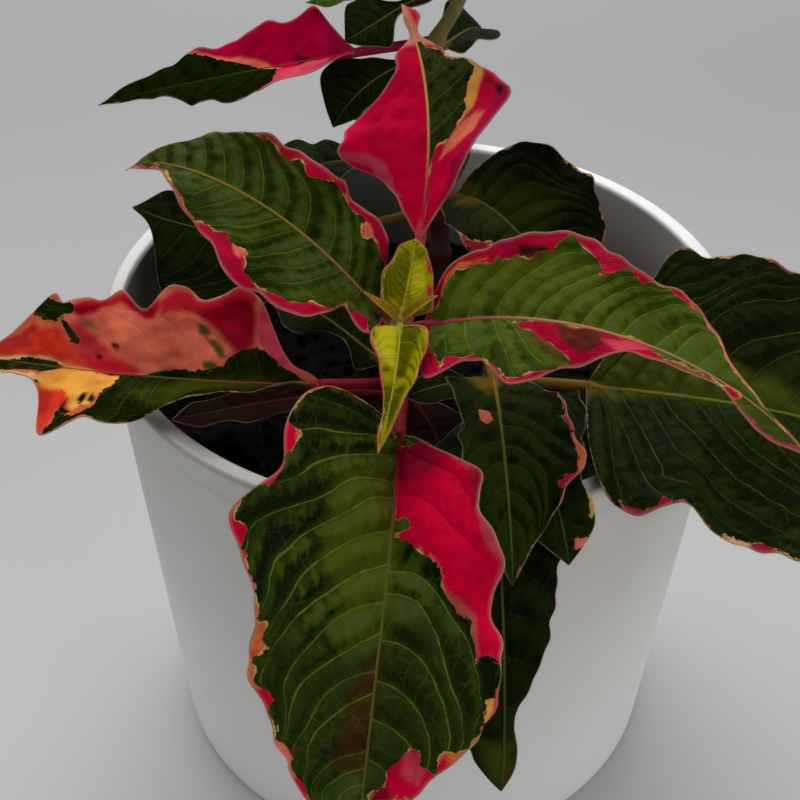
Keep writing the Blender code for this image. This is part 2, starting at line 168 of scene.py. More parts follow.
def useGroup(tree, group, values):
    made = tree.nodes.new("ShaderNodeGroup")
    made.node_tree = group
    for key, value in values.items():
        setSocket(tree, made.inputs[key], value)
    return made.outputs


def connect(tree, shader, links, height=None, strength=0.3, distance=0.3):
    for key, value in links.items():
        tree.links.new(value, shader.inputs[key])
    if height is not None:
        bump = addNode(tree, "Bump", {"Strength": strength, "Distance": distance * mm, "Height": height})
        tree.links.new(bump.outputs[0], shader.inputs["Normal"])


# Mesh helpers

def newPiece(name, points, faces, material, marks=None):
    mesh = bpy.data.meshes.new(name)
    mesh.from_pydata((np.asarray(points, float) * mm).tolist(), [], faces)
    mesh.polygons.foreach_set("use_smooth", [True] * len(mesh.polygons))
    mesh.materials.append(material)
    for key, values in (marks or {}).items():
        values = np.asarray(values, np.float32)
        coloured = values.ndim == 2
        layer = mesh.attributes.new(key, "FLOAT_COLOR" if coloured else "FLOAT", "POINT")
        layer.data.foreach_set("color" if coloured else "value", values.ravel())
    mesh.validate()
    made = bpy.data.objects.new(name, mesh)
    scene.collection.objects.link(made)
    return made


def ringFaces(rows, count, closedEnds=True):
    # quads between rings of equal count, then strips that close the first and last ring
    first = (np.arange(rows - 1)[:, None] * count + np.arange(count)).ravel()
    after = (np.arange(rows - 1)[:, None] * count + (np.arange(count) + 1) % count).ravel()
    faces = np.stack([first, after, after + count, first + count], 1).tolist()
    if closedEnds:
        last = (rows - 1) * count
        for k in range(count // 2 - 1):
            faces.append([count - 1 - k, count - 2 - k, k + 1, k])
            faces.append([last + k, last + k + 1, last + count - 2 - k, last + count - 1 - k])
    return faces


def unit(vectors):
    return vectors / np.linalg.norm(vectors, axis=-1, keepdims=True)


def smoothCurve(values, shares):
    # smooth curve through evenly spaced values
    values = np.asarray(values, float)
    last = len(values) - 1
    x = np.clip(shares, 0, 1) * last
    row = np.minimum(x.astype(int), last - 1)
    part = x - row
    b, c = values[row], values[row + 1]
    a = np.where(row > 0, values[np.maximum(row - 1, 0)], 2 * b - c)
    d = np.where(row + 2 <= last, values[np.minimum(row + 2, last)], 2 * c - b)
    return 0.5 * (2 * b + (c - a) * part + (2 * a - 5 * b + 4 * c - d) * part ** 2
                  + (3 * b - a - 3 * c + d) * part ** 3)


def lumps(points, length, seed, waves=14):
    # smooth random swell between about -1 and 1, with features of about that length
    rng = np.random.default_rng(seed)
    value = np.zeros(points.shape[:-1])
    for _ in range(waves):
        way = unit(rng.normal(size=points.shape[-1])) * 2 * math.pi / (length * rng.uniform(0.7, 1.5))
        value += np.sin(points @ way + rng.uniform(0, 2 * math.pi))
    return value / math.sqrt(waves / 2) / 1.6


# Groups shared by several materials

def grainGroup():
    # fine uneven surface: a mask of patches and a height
    tree, start, end = newGroup("fineGrain", {"Place": None, "Patch size": 200.0, "Grain size": 3000.0},
                                ("Patches", "Height"))
    patches = clouds(tree, start["Place"], start["Patch size"], 3)
    grain = clouds(tree, start["Place"], start["Grain size"])
    height = total(tree, patches, times(tree, grain, 0.4))
    return finishGroup(tree, end, {"Patches": patches, "Height": height})


fineGrain = grainGroup()

veinNet = {
    "waverScale": 420.0,
    "waver": 0.16,  # mm that a vein wavers
    "driftScale": 260.0,
    "drift": 0.0025,  # metres that the net is bent by
    "cellScale": 330.0,  # the net between the veins
    "smallScale": 900.0,  # the finer net inside it
    "rungPitch": 0.34,  # rungs between two veins, for each mm of reach
    "rungLean": 0.6,
    # painted light and shade across the rungs between two veins
    "rungShow": 0.9,
    "rungHeight": 2.2,
    "rungScale": 1.3,
    "lit": 0.17,  # light on the tip side of each vein and dark on its foot side
    "litStart": 0.3,
}


def veinGroup():
    # side veins from the phase that each point of a blade carries, with the net and rungs between them
    tree, start, end = newGroup(
        "leafVeins",
        {"Place": None, "Phase": 0.0, "Phase mm": 8.0, "Rib mm": 5.0, "Along mm": 5.0, "Edge mm": 5.0,
         "Vein width": 0.3},
        ("Veins", "Glow", "Rib", "Net", "Tone", "Height"))
    place = start["Place"]
    nearest = calc(tree, "FRACT", total(tree, start["Phase"], 0.5))
    apartMm = times(tree, calc(tree, "ABSOLUTE", less(tree, nearest, 0.5)), start["Phase mm"])
    wavy = total(tree, apartMm, swings(tree, place, veinNet["waverScale"], veinNet["waver"]))
    width = times(tree, start["Vein width"], rise(tree, start["Edge mm"], 0.8, 9.0, 0.35, 1.2))
    share = calc(tree, "DIVIDE", calc(tree, "ABSOLUTE", wavy), width)
    rib = rise(tree, start["Rib mm"], -0.12, 0.12, 1.0, 0.0)
    drift = addNode(tree, "TexNoise", {"Vector": place, "Scale": veinNet["driftScale"], "Detail": 2.0})
    drift = addNode(tree, "VectorMath", {0: drift.outputs["Color"], 1: (veinNet["drift"],) * 3},
                    operation="MULTIPLY")
    bent = addNode(tree, "VectorMath", {0: place, 1: drift.outputs[0]}, operation="ADD").outputs[0]
    cells, small = (addNode(tree, "TexVoronoi", {"Vector": bent, "Scale": veinNet[key]},
                            feature="DISTANCE_TO_EDGE").outputs["Distance"]
                    for key in ("cellScale", "smallScale"))
    fine = times(tree, rise(tree, small, 0.02, 0.16, 0.5, 0.0), rise(tree, share, 1.0, 9.0, 1.0, 0.4))
    net = times(tree, rise(tree, cells, 0.005, 0.07, 1.0, 0.0),
                rise(tree, clouds(tree, place, 120), 0.42, 0.62))
    reach = total(tree, start["Rib mm"], times(tree, start["Along mm"], veinNet["rungLean"]))
    ladder = addNode(tree, "CombineXYZ", {0: start["Phase"], 1: times(tree, reach, veinNet["rungPitch"])})
    rungs = clouds(tree, ladder.outputs[0], veinNet["rungScale"])
    # painted light and shade: the tone is lighter on the tip side of each vein and darker on its foot side,
    # and swings light and dark across the rungs
    turn = times(tree, less(tree, start["Phase"], veinNet["litStart"]), 2 * math.pi)
    tone = total(tree, times(tree, calc(tree, "COSINE", turn), veinNet["lit"]),
                 times(tree, less(tree, rungs, 0.5), veinNet["rungShow"]),
                 rise(tree, start["Rib mm"], 0.0, 16.0, 0.20, -0.10))
    height = total(tree, rise(tree, small, 0.0, 0.3, 0.0, 0.2), rise(tree, cells, 0.0, 0.25, 0.0, 0.4),
                   rise(tree, share, 0.5, 4.0), times(tree, rungs, veinNet["rungHeight"]),
                   times(tree, rib, 0.6))
    return finishGroup(tree, end, {
        "Veins": rise(tree, share, 0.5, 1.6, 1.0, 0.0), "Glow": rise(tree, apartMm, 0.2, 1.5, 1.0, 0.0),
        "Rib": rib, "Net": calc(tree, "MAXIMUM", net, fine), "Tone": tone, "Height": height})


def variegationGroup():
    # where a blade is pink or cream, with broken stepped edges, from a distance in mm
    tree, start, end = newGroup(
        "leafVariegation", {"Place": None, "Pink mm": -9.0, "Cream mm": 0.5, "Rough mm": 0.7},
        ("Pink", "Cream", "Rim"))
    place = start["Place"]
    steps = addNode(tree, "TexVoronoi", {"Vector": place, "Scale": 620.0}).outputs["Color"]
    step = less(tree, addNode(tree, "SeparateColor", {0: steps}).outputs[0], 0.5)
    jag = total(tree, swings(tree, place, 300, 0.9, 3), times(tree, step, 0.9))
    pinkMm = total(tree, start["Pink mm"], times(tree, jag, start["Rough mm"]),
                   swings(tree, place, 1500, 0.16))
    pink = rise(tree, pinkMm, -0.1, 0.1)
    wide = times(tree, start["Cream mm"], rise(tree, clouds(tree, place, 230), 0.42, 0.68, 0.0, 1.3))
    cream = times(tree, rise(tree, total(tree, pinkMm, wide), -0.1, 0.15), less(tree, 1.0, pink))
    rim = times(tree, rise(tree, pinkMm, 0.0, 0.7, 0.7, 0.0), rise(tree, wide, 0.1, 0.5))
    return finishGroup(tree, end, {"Pink": pink, "Cream": cream, "Rim": rim})


leafVeins = veinGroup()
leafVariegation = variegationGroup()


# Leaf colours: one look for each kind of leaf on the plant

commonLook = {
    "dark": (0.003, 0.008, 0.002),
    "green": (0.050, 0.080, 0.003),
    "vein": (0.17, 0.21, 0.03),
    "rib": (0.13, 0.13, 0.02),
    "ribFoot": (0.30, 0.006, 0.03),
    "pink": (0.76, 0.000, 0.040),
    "rim": (0.62, 0.16, 0.06),
    "cream": (0.60, 0.38, 0.10),
    "outline": (0.45, 0.33, 0.24),
    "under": (0.06, 0.05, 0.02),
    "veinWidth": 0.125,
    "veinShow": 0.66,
    "pinkVein": 0.12,
    "pinkVeinColour": (0.22, 0.002, 0.02),
    "pinkShade": (0.55, 0.35, 0.5),  # darkens the pink in broad uneven patches
    "netShow": 0.14,
    "sheen": (0.10, 0.14, 0.055),  # cool light on the swells between the veins
    "sheenShow": 0.38,
    "glowShow": 0.3,
    "washBlend": 0.35,
    "creamMm": 0.32,
    "roughMm": 0.7,
    "bump": 0.45,
    "shine": 0.025,
}

leafLooks = {
    "leafGreen": {"washBlend": 0.12},
    "leafDeep": {"dark": (0.003, 0.006, 0), "green": (0.016, 0.026, 0.001),
                 "vein": (0.06, 0.085, 0.008), "rib": (0.12, 0.13, 0.02), "ribFoot": (0.25, 0.14, 0.02),
                 "pink": (0.45, 0.01, 0.04), "sheenShow": 0.03, "creamMm": 0.1, "veinShow": 0.4,
                 "shine": 0.02},
    # darker greens for the leaves at the back of the plant and low inside it: their own colour, darkened
    # further as painted shade
    "leafDark": {"dark": (0.002, 0.004, 0), "green": (0.009, 0.015, 0.001),
                 "vein": (0.045, 0.07, 0.006), "rib": (0.09, 0.11, 0.015), "ribFoot": (0.16, 0.1, 0.02),
                 "pink": (0.4, 0.015, 0.04), "sheenShow": 0.02, "veinShow": 0.4, "shine": 0.025},
    "leafBroad": {"dark": (0.003, 0.006, 0), "green": (0.013, 0.022, 0.002),
                  "vein": (0.085, 0.12, 0.012), "rib": (0.17, 0.18, 0.015),
                  "ribFoot": (0.24, 0.13, 0.02), "pink": (0.4, 0.015, 0.04), "sheenShow": 0.07,
                  "veinWidth": 0.1, "veinShow": 0.6, "glowShow": 0.5, "shine": 0.04},
    "leafFresh": {"dark": (0.02, 0.036, 0.001), "green": (0.076, 0.112, 0.005),
                  "vein": (0.15, 0.19, 0.02), "rib": (0.5, 0.22, 0.1), "ribFoot": (0.42, 0.03, 0.06),
                  "pink": (0.5, 0.001, 0.036), "creamMm": 0.3},
    "leafOlive": {"dark": (0.008, 0.016, 0), "green": (0.038, 0.06, 0.002), "vein": (0.1, 0.13, 0.012),
                  "rib": (0.3, 0.15, 0.03), "ribFoot": (0.36, 0.1, 0.05), "pink": (0.46, 0.001, 0.032),
                  "creamMm": 0.3},
    "leafUpright": {"dark": (0.005, 0.008, 0), "green": (0.02, 0.028, 0.002), "rib": (0.6, 0.4, 0.08),
                    "ribFoot": (0.5, 0.02, 0.07), "pink": (0.68, 0, 0.04), "sheenShow": 0.15,
                    "creamMm": 0.4, "veinShow": 0.3, "pinkVein": 0.05, "bump": 0.15, "shine": 0.02},
    "leafTop": {"dark": (0.003, 0.006, 0), "green": (0.008, 0.013, 0.001), "vein": (0.03, 0.045, 0.005),
                "rib": (0.03, 0.04, 0.005), "ribFoot": (0.4, 0.01, 0.05), "pink": (0.42, 0.001, 0.032),
                "sheenShow": 0, "creamMm": 0.2, "pinkVein": 0.05, "bump": 0.12, "veinShow": 0.3,
                "shine": 0},
    "leafSalmon": {"dark": (0.006, 0.009, 0.001), "green": (0.011, 0.015, 0.001),
                   "rib": (0.1, 0.09, 0.015), "ribFoot": (0.36, 0.01, 0.04), "pink": (0.62, 0.13, 0.06),
                   "sheenShow": 0.1, "creamMm": 0.1, "veinShow": 0.15, "pinkVein": 0.06, "bump": 0.2,
                   "shine": 0},
    "leafYoung": {"dark": (0.12, 0.13, 0), "green": (0.34, 0.31, 0.002), "vein": (0.4, 0.37, 0.02),
                  "rib": (0.6, 0.54, 0.08), "ribFoot": (0.52, 0.42, 0.06), "pink": (0.55, 0.12, 0.03),
                  "outline": (0.65, 0.25, 0.12), "sheenShow": 0, "veinWidth": 0.1, "shine": 0,
                  "netShow": 0.05, "glowShow": 0.08, "veinShow": 0.6, "creamMm": 0.25, "roughMm": 0.5,
                  "washBlend": 0.12},
    "leafApex": {"dark": (0.22, 0.14, 0.004), "green": (0.42, 0.26, 0.012), "vein": (0.5, 0.3, 0.03),
                 "rib": (0.5, 0.34, 0.03), "ribFoot": (0.4, 0.26, 0.01), "pink": (0.55, 0.12, 0.03),
                 "outline": (0.7, 0.32, 0.16), "sheenShow": 0, "shine": 0, "creamMm": 0},
    # dull dark brown of the low inner leaves, darkened further as painted shade
    "leafDull": {"dark": (0.005, 0.002, 0.001), "green": (0.016, 0.004, 0.001),
                 "vein": (0.04, 0.01, 0.005), "rib": (0.08, 0.02, 0.01), "ribFoot": (0.1, 0.01, 0.01),
                 "sheenShow": 0},
}


def greenColour(tree, look, place, carried, veins, veined, grain):
    tone = total(tree, grain["Patches"], swings(tree, place, 420, 0.10), veins["Tone"])
    green = mixed(tree, rise(tree, tone, 0.33, 0.72), look["dark"], look["green"])
    green = mixed(tree, rise(tree, tone, 0.6, 1.05, 0.0, look["sheenShow"]), green, look["sheen"])
    wash = addNode(tree, "Attribute", attribute_name="wash").outputs
    green = mixed(tree, wash["Alpha"], green, mixed(tree, look["washBlend"], wash["Color"], green))
    green = mixed(tree, times(tree, veins["Net"], look["netShow"]), green, look["vein"])
    glowing = times(tree, times(tree, veins["Glow"], carried["veinPart"]), look["glowShow"])
    green = mixed(tree, glowing, green, look["green"])
    return mixed(tree, times(tree, veined, look["veinShow"]), green, look["vein"])


def pinkColour(tree, look, place, carried, veined, rim):
    tint = addNode(tree, "Attribute", attribute_name="tint").outputs["Color"]
    uneven = rise(tree, clouds(tree, place, 150, 4), 0.35, 0.68, 0.0, 0.6)
    pink = mixed(tree, uneven, tint, mixed(tree, 1.0, tint, look["pinkShade"], "MULTIPLY"))
    pink = mixed(tree, times(tree, veined, look["pinkVein"]), pink, look["pinkVeinColour"])
    pink = mixed(tree, rise(tree, carried["edgeMm"], 0.15, 0.9, 0.22, 0.0), pink, look["outline"])
    return mixed(tree, rim, pink, look["rim"])


def leafMaterial(name, changes):
    look = {**commonLook, **changes}
    made, tree, shader, place = newMaterial(name)
    carried = {key: addNode(tree, "Attribute", attribute_name=key).outputs["Fac"]
               for key in ("phase", "phaseMm", "veinPart", "ribMm", "edgeMm", "alongMm", "pinkMm",
                           "stalk", "under")}
    veins = useGroup(tree, leafVeins, {
        "Place": place, "Phase": carried["phase"], "Phase mm": carried["phaseMm"],
        "Rib mm": carried["ribMm"], "Along mm": carried["alongMm"], "Edge mm": carried["edgeMm"],
        "Vein width": look["veinWidth"]})
    patches = useGroup(tree, leafVariegation, {
        "Place": place, "Pink mm": carried["pinkMm"], "Cream mm": look["creamMm"],
        "Rough mm": look["roughMm"]})
    grain = useGroup(tree, fineGrain, {"Place": place, "Patch size": 110.0, "Grain size": 1600.0})
    veined = times(tree, veins["Veins"], carried["veinPart"])
    green = greenColour(tree, look, place, carried, veins, veined, grain)
    pink = pinkColour(tree, look, place, carried, veined, patches["Rim"])
    blade = mixed(tree, patches["Cream"], green, look["cream"])
    blade = mixed(tree, patches["Pink"], blade, pink)
    rib = mixed(tree, rise(tree, carried["alongMm"], 4.0, 30.0), look["ribFoot"], look["rib"])
    blade = mixed(tree, veins["Rib"], blade, rib)
    faint = times(tree, rise(tree, carried["edgeMm"], 0.06, 0.2, 1.0, 0.0),
                  rise(tree, clouds(tree, place, 150), 0.35, 0.65, 0.2, 0.75))
    blade = mixed(tree, faint, blade, look["outline"])
    blade = mixed(tree, carried["under"], blade, mixed(tree, 0.5, blade, look["under"]))
    stalk = mixed(tree, clouds(tree, place, 400), look["ribFoot"], look["rib"])
    blade = mixed(tree, carried["stalk"], blade, mixed(tree, 0.25, look["ribFoot"], stalk))
    gloss = rise(tree, grain["Height"], 0.3, 1.0, 0.52, 0.66)
    height = total(tree, veins["Height"], times(tree, grain["Height"], 0.1))
    connect(tree, shader, {"Base Color": blade, "Roughness": gloss}, height, look["bump"], 0.25)
    shader.inputs["Specular IOR Level"].default_value = look["shine"]
    return made


leafMaterials = {name: leafMaterial(name, changes) for name, changes in leafLooks.items()}
print("leaf materials ready")


# Pot: a turned cover pot of white satin finish

pot = {
    # sizes in mm
    "height": 120.0, "baseRadius": 61.0, "wallTop": 68.8, "rimRadius": 70.0, "band": 7.0, "step": 1.0,
    "wall": 4.0, "floor": 5.0, "baseEdge": 1.5, "rimEdge": 1.0, "sides": 192, "rows": 40,
    "colour": (0.78, 0.75, 0.72),
    "shade": (0.73, 0.695, 0.665),
    "high": (0.80, 0.79, 0.78),  # painted shade: multiplies the colour up the wall
    "low": (0.95, 0.93, 0.90),  # painted light: the paler foot of the wall
    "specks": (0.55, 0.5, 0.45),
    # painted shade on the inner wall, low down and at the left behind the leaves
    "inside": (0.15, 0.13, 0.10),
    "deepShade": (0.022, 0.028, 0.016),  # inner wall behind the leaves, at the left
    "rimShade": (0.30, 0.27, 0.25),
    "rimLight": (0.93, 0.91, 0.89),
    "slope": 0.0756,  # growth of the radius for each metre up
    "insideStart": -0.0583,  # metres from the axis, less the slope, where the inner wall starts
    "middleY": (-0.03, 0.01),  # metres over which the front of the pot turns into its back
    "rimTop": (0.1186, 0.1194),
}


def roundedEdge(radius, height, inward, upward, size, steps=6):
    # quarter circle from the wall to the flat top or bottom
    turns = [math.pi / 2 * k / steps for k in range(steps + 1)]
    return [(radius - inward * size * (1 - math.cos(t)), height - upward * size * (1 - math.sin(t)))
            for t in turns]


def turned(name, profile, sides, material, lift=None):
    # turn (radius, height) pairs about the upright axis; both ends lie on the axis
    turns = np.linspace(0, 2 * math.pi, sides, endpoint=False)
    points = [(0.0, 0.0, profile[0][1])]
    for radius, height in profile[1:-1]:
        points += [(radius * math.cos(t), radius * math.sin(t), height) for t in turns]
    points.append((0.0, 0.0, profile[-1][1]))
    rows = len(profile) - 2
    faces = [[k % sides + 1, 0, (k + 1) % sides + 1] for k in range(sides)]
    for row in range(rows - 1):
        low = 1 + row * sides
        faces += [[low + k, low + (k + 1) % sides, low + sides + (k + 1) % sides, low + sides + k]
                  for k in range(sides)]
    low = 1 + (rows - 1) * sides
    faces += [[low + k, low + (k + 1) % sides, len(points) - 1] for k in range(sides)]
    points = np.array(points)
    if lift:
        points = lift(points)
    return newPiece(name, points, faces, material)


def spaced(first, last, count):
    a, b = np.array(first), np.array(last)
    return [tuple(a + (b - a) * k / count) for k in range(1, count)]


def insideShade(tree, x, y, z, colour):
    # the inner wall, darker low down, at the left and behind the leaves
    reach = calc(tree, "SQRT", total(tree, times(tree, x, x), times(tree, y, y)))
    sunk = less(tree, times(tree, z, pot["slope"]), reach)
    inside = rise(tree, sunk, pot["insideStart"], pot["insideStart"] + 0.001, 0.0, 0.75)
    back = rise(tree, y, *pot["middleY"])
    low = rise(tree, z, 0.095, 0.1185, 1.0, 0.0)
    low = calc(tree, "MAXIMUM", low, times(tree, rise(tree, x, -0.055, -0.02, 1.0, 0.0), back))
    colour = mixed(tree, times(tree, inside, low), colour, pot["inside"])
    leafShade = times(tree, rise(tree, x, -0.012, 0.012, 0.8, 0.0), back)
    return mixed(tree, times(tree, inside, leafShade), colour, pot["deepShade"])


def potMaterial():
    made, tree, shader, place = newMaterial("satinWhite")
    x, y, z = axes(tree, place)
    grain = useGroup(tree, fineGrain, {"Place": place, "Patch size": 25.0, "Grain size": 1500.0})
    colour = mixed(tree, rise(tree, grain["Patches"], 0.35, 0.65), pot["colour"], pot["shade"])
    # painted light and shade: the wall darker up high and paler towards its foot
    colour = mixed(tree, rise(tree, z, 0.0, 0.1, 0.8, 0.0),
                   mixed(tree, 1.0, colour, pot["high"], "MULTIPLY"), pot["low"])
    specks = rise(tree, clouds(tree, place, 900), 0.69, 0.76, 0.0, 0.35)
    colour = insideShade(tree, x, y, z, mixed(tree, specks, colour, pot["specks"]))
    top = rise(tree, z, *pot["rimTop"])
    near = times(tree, top, rise(tree, y, *pot["middleY"], 0.5, 0.0))
    colour = mixed(tree, near, colour, pot["rimShade"])
    colour = mixed(tree, times(tree, top, rise(tree, y, 0.0, 0.03)), colour, pot["rimLight"])
    gloss = rise(tree, grain["Patches"], 0.3, 0.7, 0.36, 0.46)
    connect(tree, shader, {"Base Color": colour, "Roughness": gloss}, grain["Height"], 0.08, 0.2)
    return made


def makePot():
    band = pot["height"] - pot["band"]
    top = pot["height"]
    outer = pot["rimRadius"]
    inner = outer - pot["wall"]
    foot = pot["baseRadius"] - pot["wall"]
    profile = [(0, 0)]
    profile += roundedEdge(pot["baseRadius"], 0, 1, -1, pot["baseEdge"])[::-1]
    wallEnd = (pot["wallTop"], band - pot["step"])
    profile += spaced((pot["baseRadius"], pot["baseEdge"]), wallEnd, pot["rows"])
    profile += [wallEnd, (pot["wallTop"] + 0.35, band - 0.65),
                (outer - 0.35, band - 0.3), (outer, band + 0.1)]
    profile += roundedEdge(outer, top, 1, 1, pot["rimEdge"])
    profile += roundedEdge(inner, top, -1, 1, pot["rimEdge"])[::-1]
    profile += spaced((inner, top - pot["rimEdge"]), (foot, pot["floor"]), pot["rows"])
    profile += [(foot, pot["floor"]), (0, pot["floor"])]
    piece = turned("coverPot", profile, pot["sides"], potMaterial())
    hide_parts("pot")
    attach(piece, "root")


makePot()
print("pot ready")


# Soil: dark and crumbly

soil = {
    "level": 92.0, "gap": 0.3, "sides": 200, "rows": 56, "lump": 1.2, "crumbs": 420,
    "dark": (0.002, 0.0014, 0.001), "brown": (0.009, 0.006, 0.004), "fibre": (0.05, 0.03, 0.016),
}


def innerRadius(height):
    share = (height - pot["floor"]) / (pot["height"] - pot["rimEdge"] - pot["floor"])
    return pot["baseRadius"] - pot["wall"] + share * (pot["rimRadius"] - pot["baseRadius"])


def soilMaterial():
    made, tree, shader, place = newMaterial("darkSoil")
    grain = useGroup(tree, fineGrain, {"Place": place, "Patch size": 600.0, "Grain size": 2500.0})
    colour = mixed(tree, rise(tree, grain["Patches"], 0.4, 0.75), soil["dark"], soil["brown"])
    fibre = rise(tree, clouds(tree, place, 1400, 3), 0.66, 0.74)
    colour = mixed(tree, times(tree, fibre, 0.6), colour, soil["fibre"])
    gloss = rise(tree, grain["Patches"], 0.3, 0.7, 0.75, 0.95)
    connect(tree, shader, {"Base Color": colour, "Roughness": gloss}, grain["Height"], 0.8, 0.8)
    shader.inputs["Specular IOR Level"].default_value = 0.1
    return made


def makeSoil():
    low = pot["floor"] + soil["gap"]
    edge = innerRadius(soil["level"]) - soil["gap"]
    profile = [(0, low), (innerRadius(low) - soil["gap"], low)]
    profile += spaced((innerRadius(low) - soil["gap"], low), (edge, soil["level"] - 2), 6)
    profile += [(edge, soil["level"] - 2)]
    profile += [(edge * k / soil["rows"], soil["level"]) for k in range(soil["rows"], -1, -1)]

    def heap(points):
        top = points[:, 2] > soil["level"] - 0.5
        reach = np.hypot(points[:, 0], points[:, 1])
        calm = np.clip((edge - reach) / 2.0, 0, 1)
        flat = points[:, :2]
        swell = soil["lump"] * np.sin(flat[:, 0] / 5) * np.cos(flat[:, 1] / 5)
        swell = swell + 0.7 * lumps(flat, 5.0, 11) + 0.45 * lumps(flat, 2.2, 12)
        points[:, 2] += np.where(top, np.clip(swell, -2.2, 2.2) * calm, 0)
        return points

    piece = turned("pottingSoil", profile, soil["sides"], soilMaterial(), heap)
    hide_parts("soil")
    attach(piece, "root")
    return piece.data.materials[0]


def makeCrumbs(material):
    # irregular grains half sunk in the soil
    rng = np.random.default_rng(5)
    base = unit(np.array([(x, y, z) for x in (-1, 0, 1) for y in (-1, 0, 1) for z in (-1, 0, 1)
                          if (x, y, z) != (0, 0, 0)], float))
    index = {tuple(np.round(p * 9)): k for k, p in enumerate(base)}
    faces = []
    cube = [(a, b) for a in (-1, 0) for b in (-1, 0)]
    for axis in range(3):
        for side in (-1, 1):
            for a, b in cube:
                corners = []
                for u, v in ((a, b), (a + 1, b), (a + 1, b + 1), (a, b + 1)):
                    spot = [0, 0, 0]
                    spot[axis], spot[(axis + 1) % 3], spot[(axis + 2) % 3] = side, u, v
                    corners.append(index[tuple(np.round(unit(np.array(spot, float)) * 9))])
                faces.append(corners if side > 0 else corners[::-1])
    points, quads = [], []
    limit = innerRadius(soil["level"]) - 4
    for _ in range(soil["crumbs"]):
        reach, turn = limit * math.sqrt(rng.uniform()), rng.uniform(0, 2 * math.pi)
        x, y = reach * math.cos(turn), reach * math.sin(turn)
        size = rng.uniform(0.5, 1.7)
        shape = base * rng.uniform(0.75, 1.25, (26, 1)) * size * rng.uniform(0.6, 1.1, 3)
        ground = soil["level"] + soil["lump"] * math.sin(x / 5) * math.cos(y / 5)
        quads += [[len(points) + k for k in face] for face in faces]
        points += (shape + (x, y, ground + 0.35 * size)).tolist()
    piece = newPiece("soilCrumbs", points, quads, material)
    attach(piece, "root")


makeCrumbs(makeSoil())
print("soil ready")


# Stems: the same paths as the solids, with swollen nodes

stemSizes = {
    "main": {"points": ((-4, -8, 80), (-4, -8, 95), (-4, -13, 102), (-4, -20, 112), (-3.5, -30, 125),
                        (-3.5, -41, 142), (-4, -44, 145.5)), "radius": (2.4, 1.6)},
    "side": {"points": ((15, -9, 80), (15, -9, 95), (15, -15, 103), (15, -22, 113), (15, -27, 120),
                        (14.5, -30, 126)), "radius": (2.1, 1.4)},
    "back": {"points": ((5, 28, 80), (5, 28, 95), (4, 31, 116), (3, 33, 135), (2, 35, 150),
                        (1.5, 34.5, 165), (6, 34, 173), (9, 33, 185), (10, 32, 194)), "radius": (2.6, 1.2)},
}

stemLook = {
    "sides": 28, "spacing": 0.6, "nodeSwell": 0.25, "nodeReach": 2.2,
    "red": (0.30, 0.035, 0.035), "brown": (0.20, 0.085, 0.035), "green": (0.13, 0.13, 0.03),
    "shade": (0.35, 0.3, 0.4), "top": (0.20, 0.17, 0.03), "tip": (0.34, 0.26, 0.03),
}

ovalShares = (0.6, 0.88, 1, 0.97, 0.85, 0.63, 0.32)


def oval(halfWidth):
    # half widths of a plain oval blade
    return tuple(halfWidth * share for share in ovalShares)


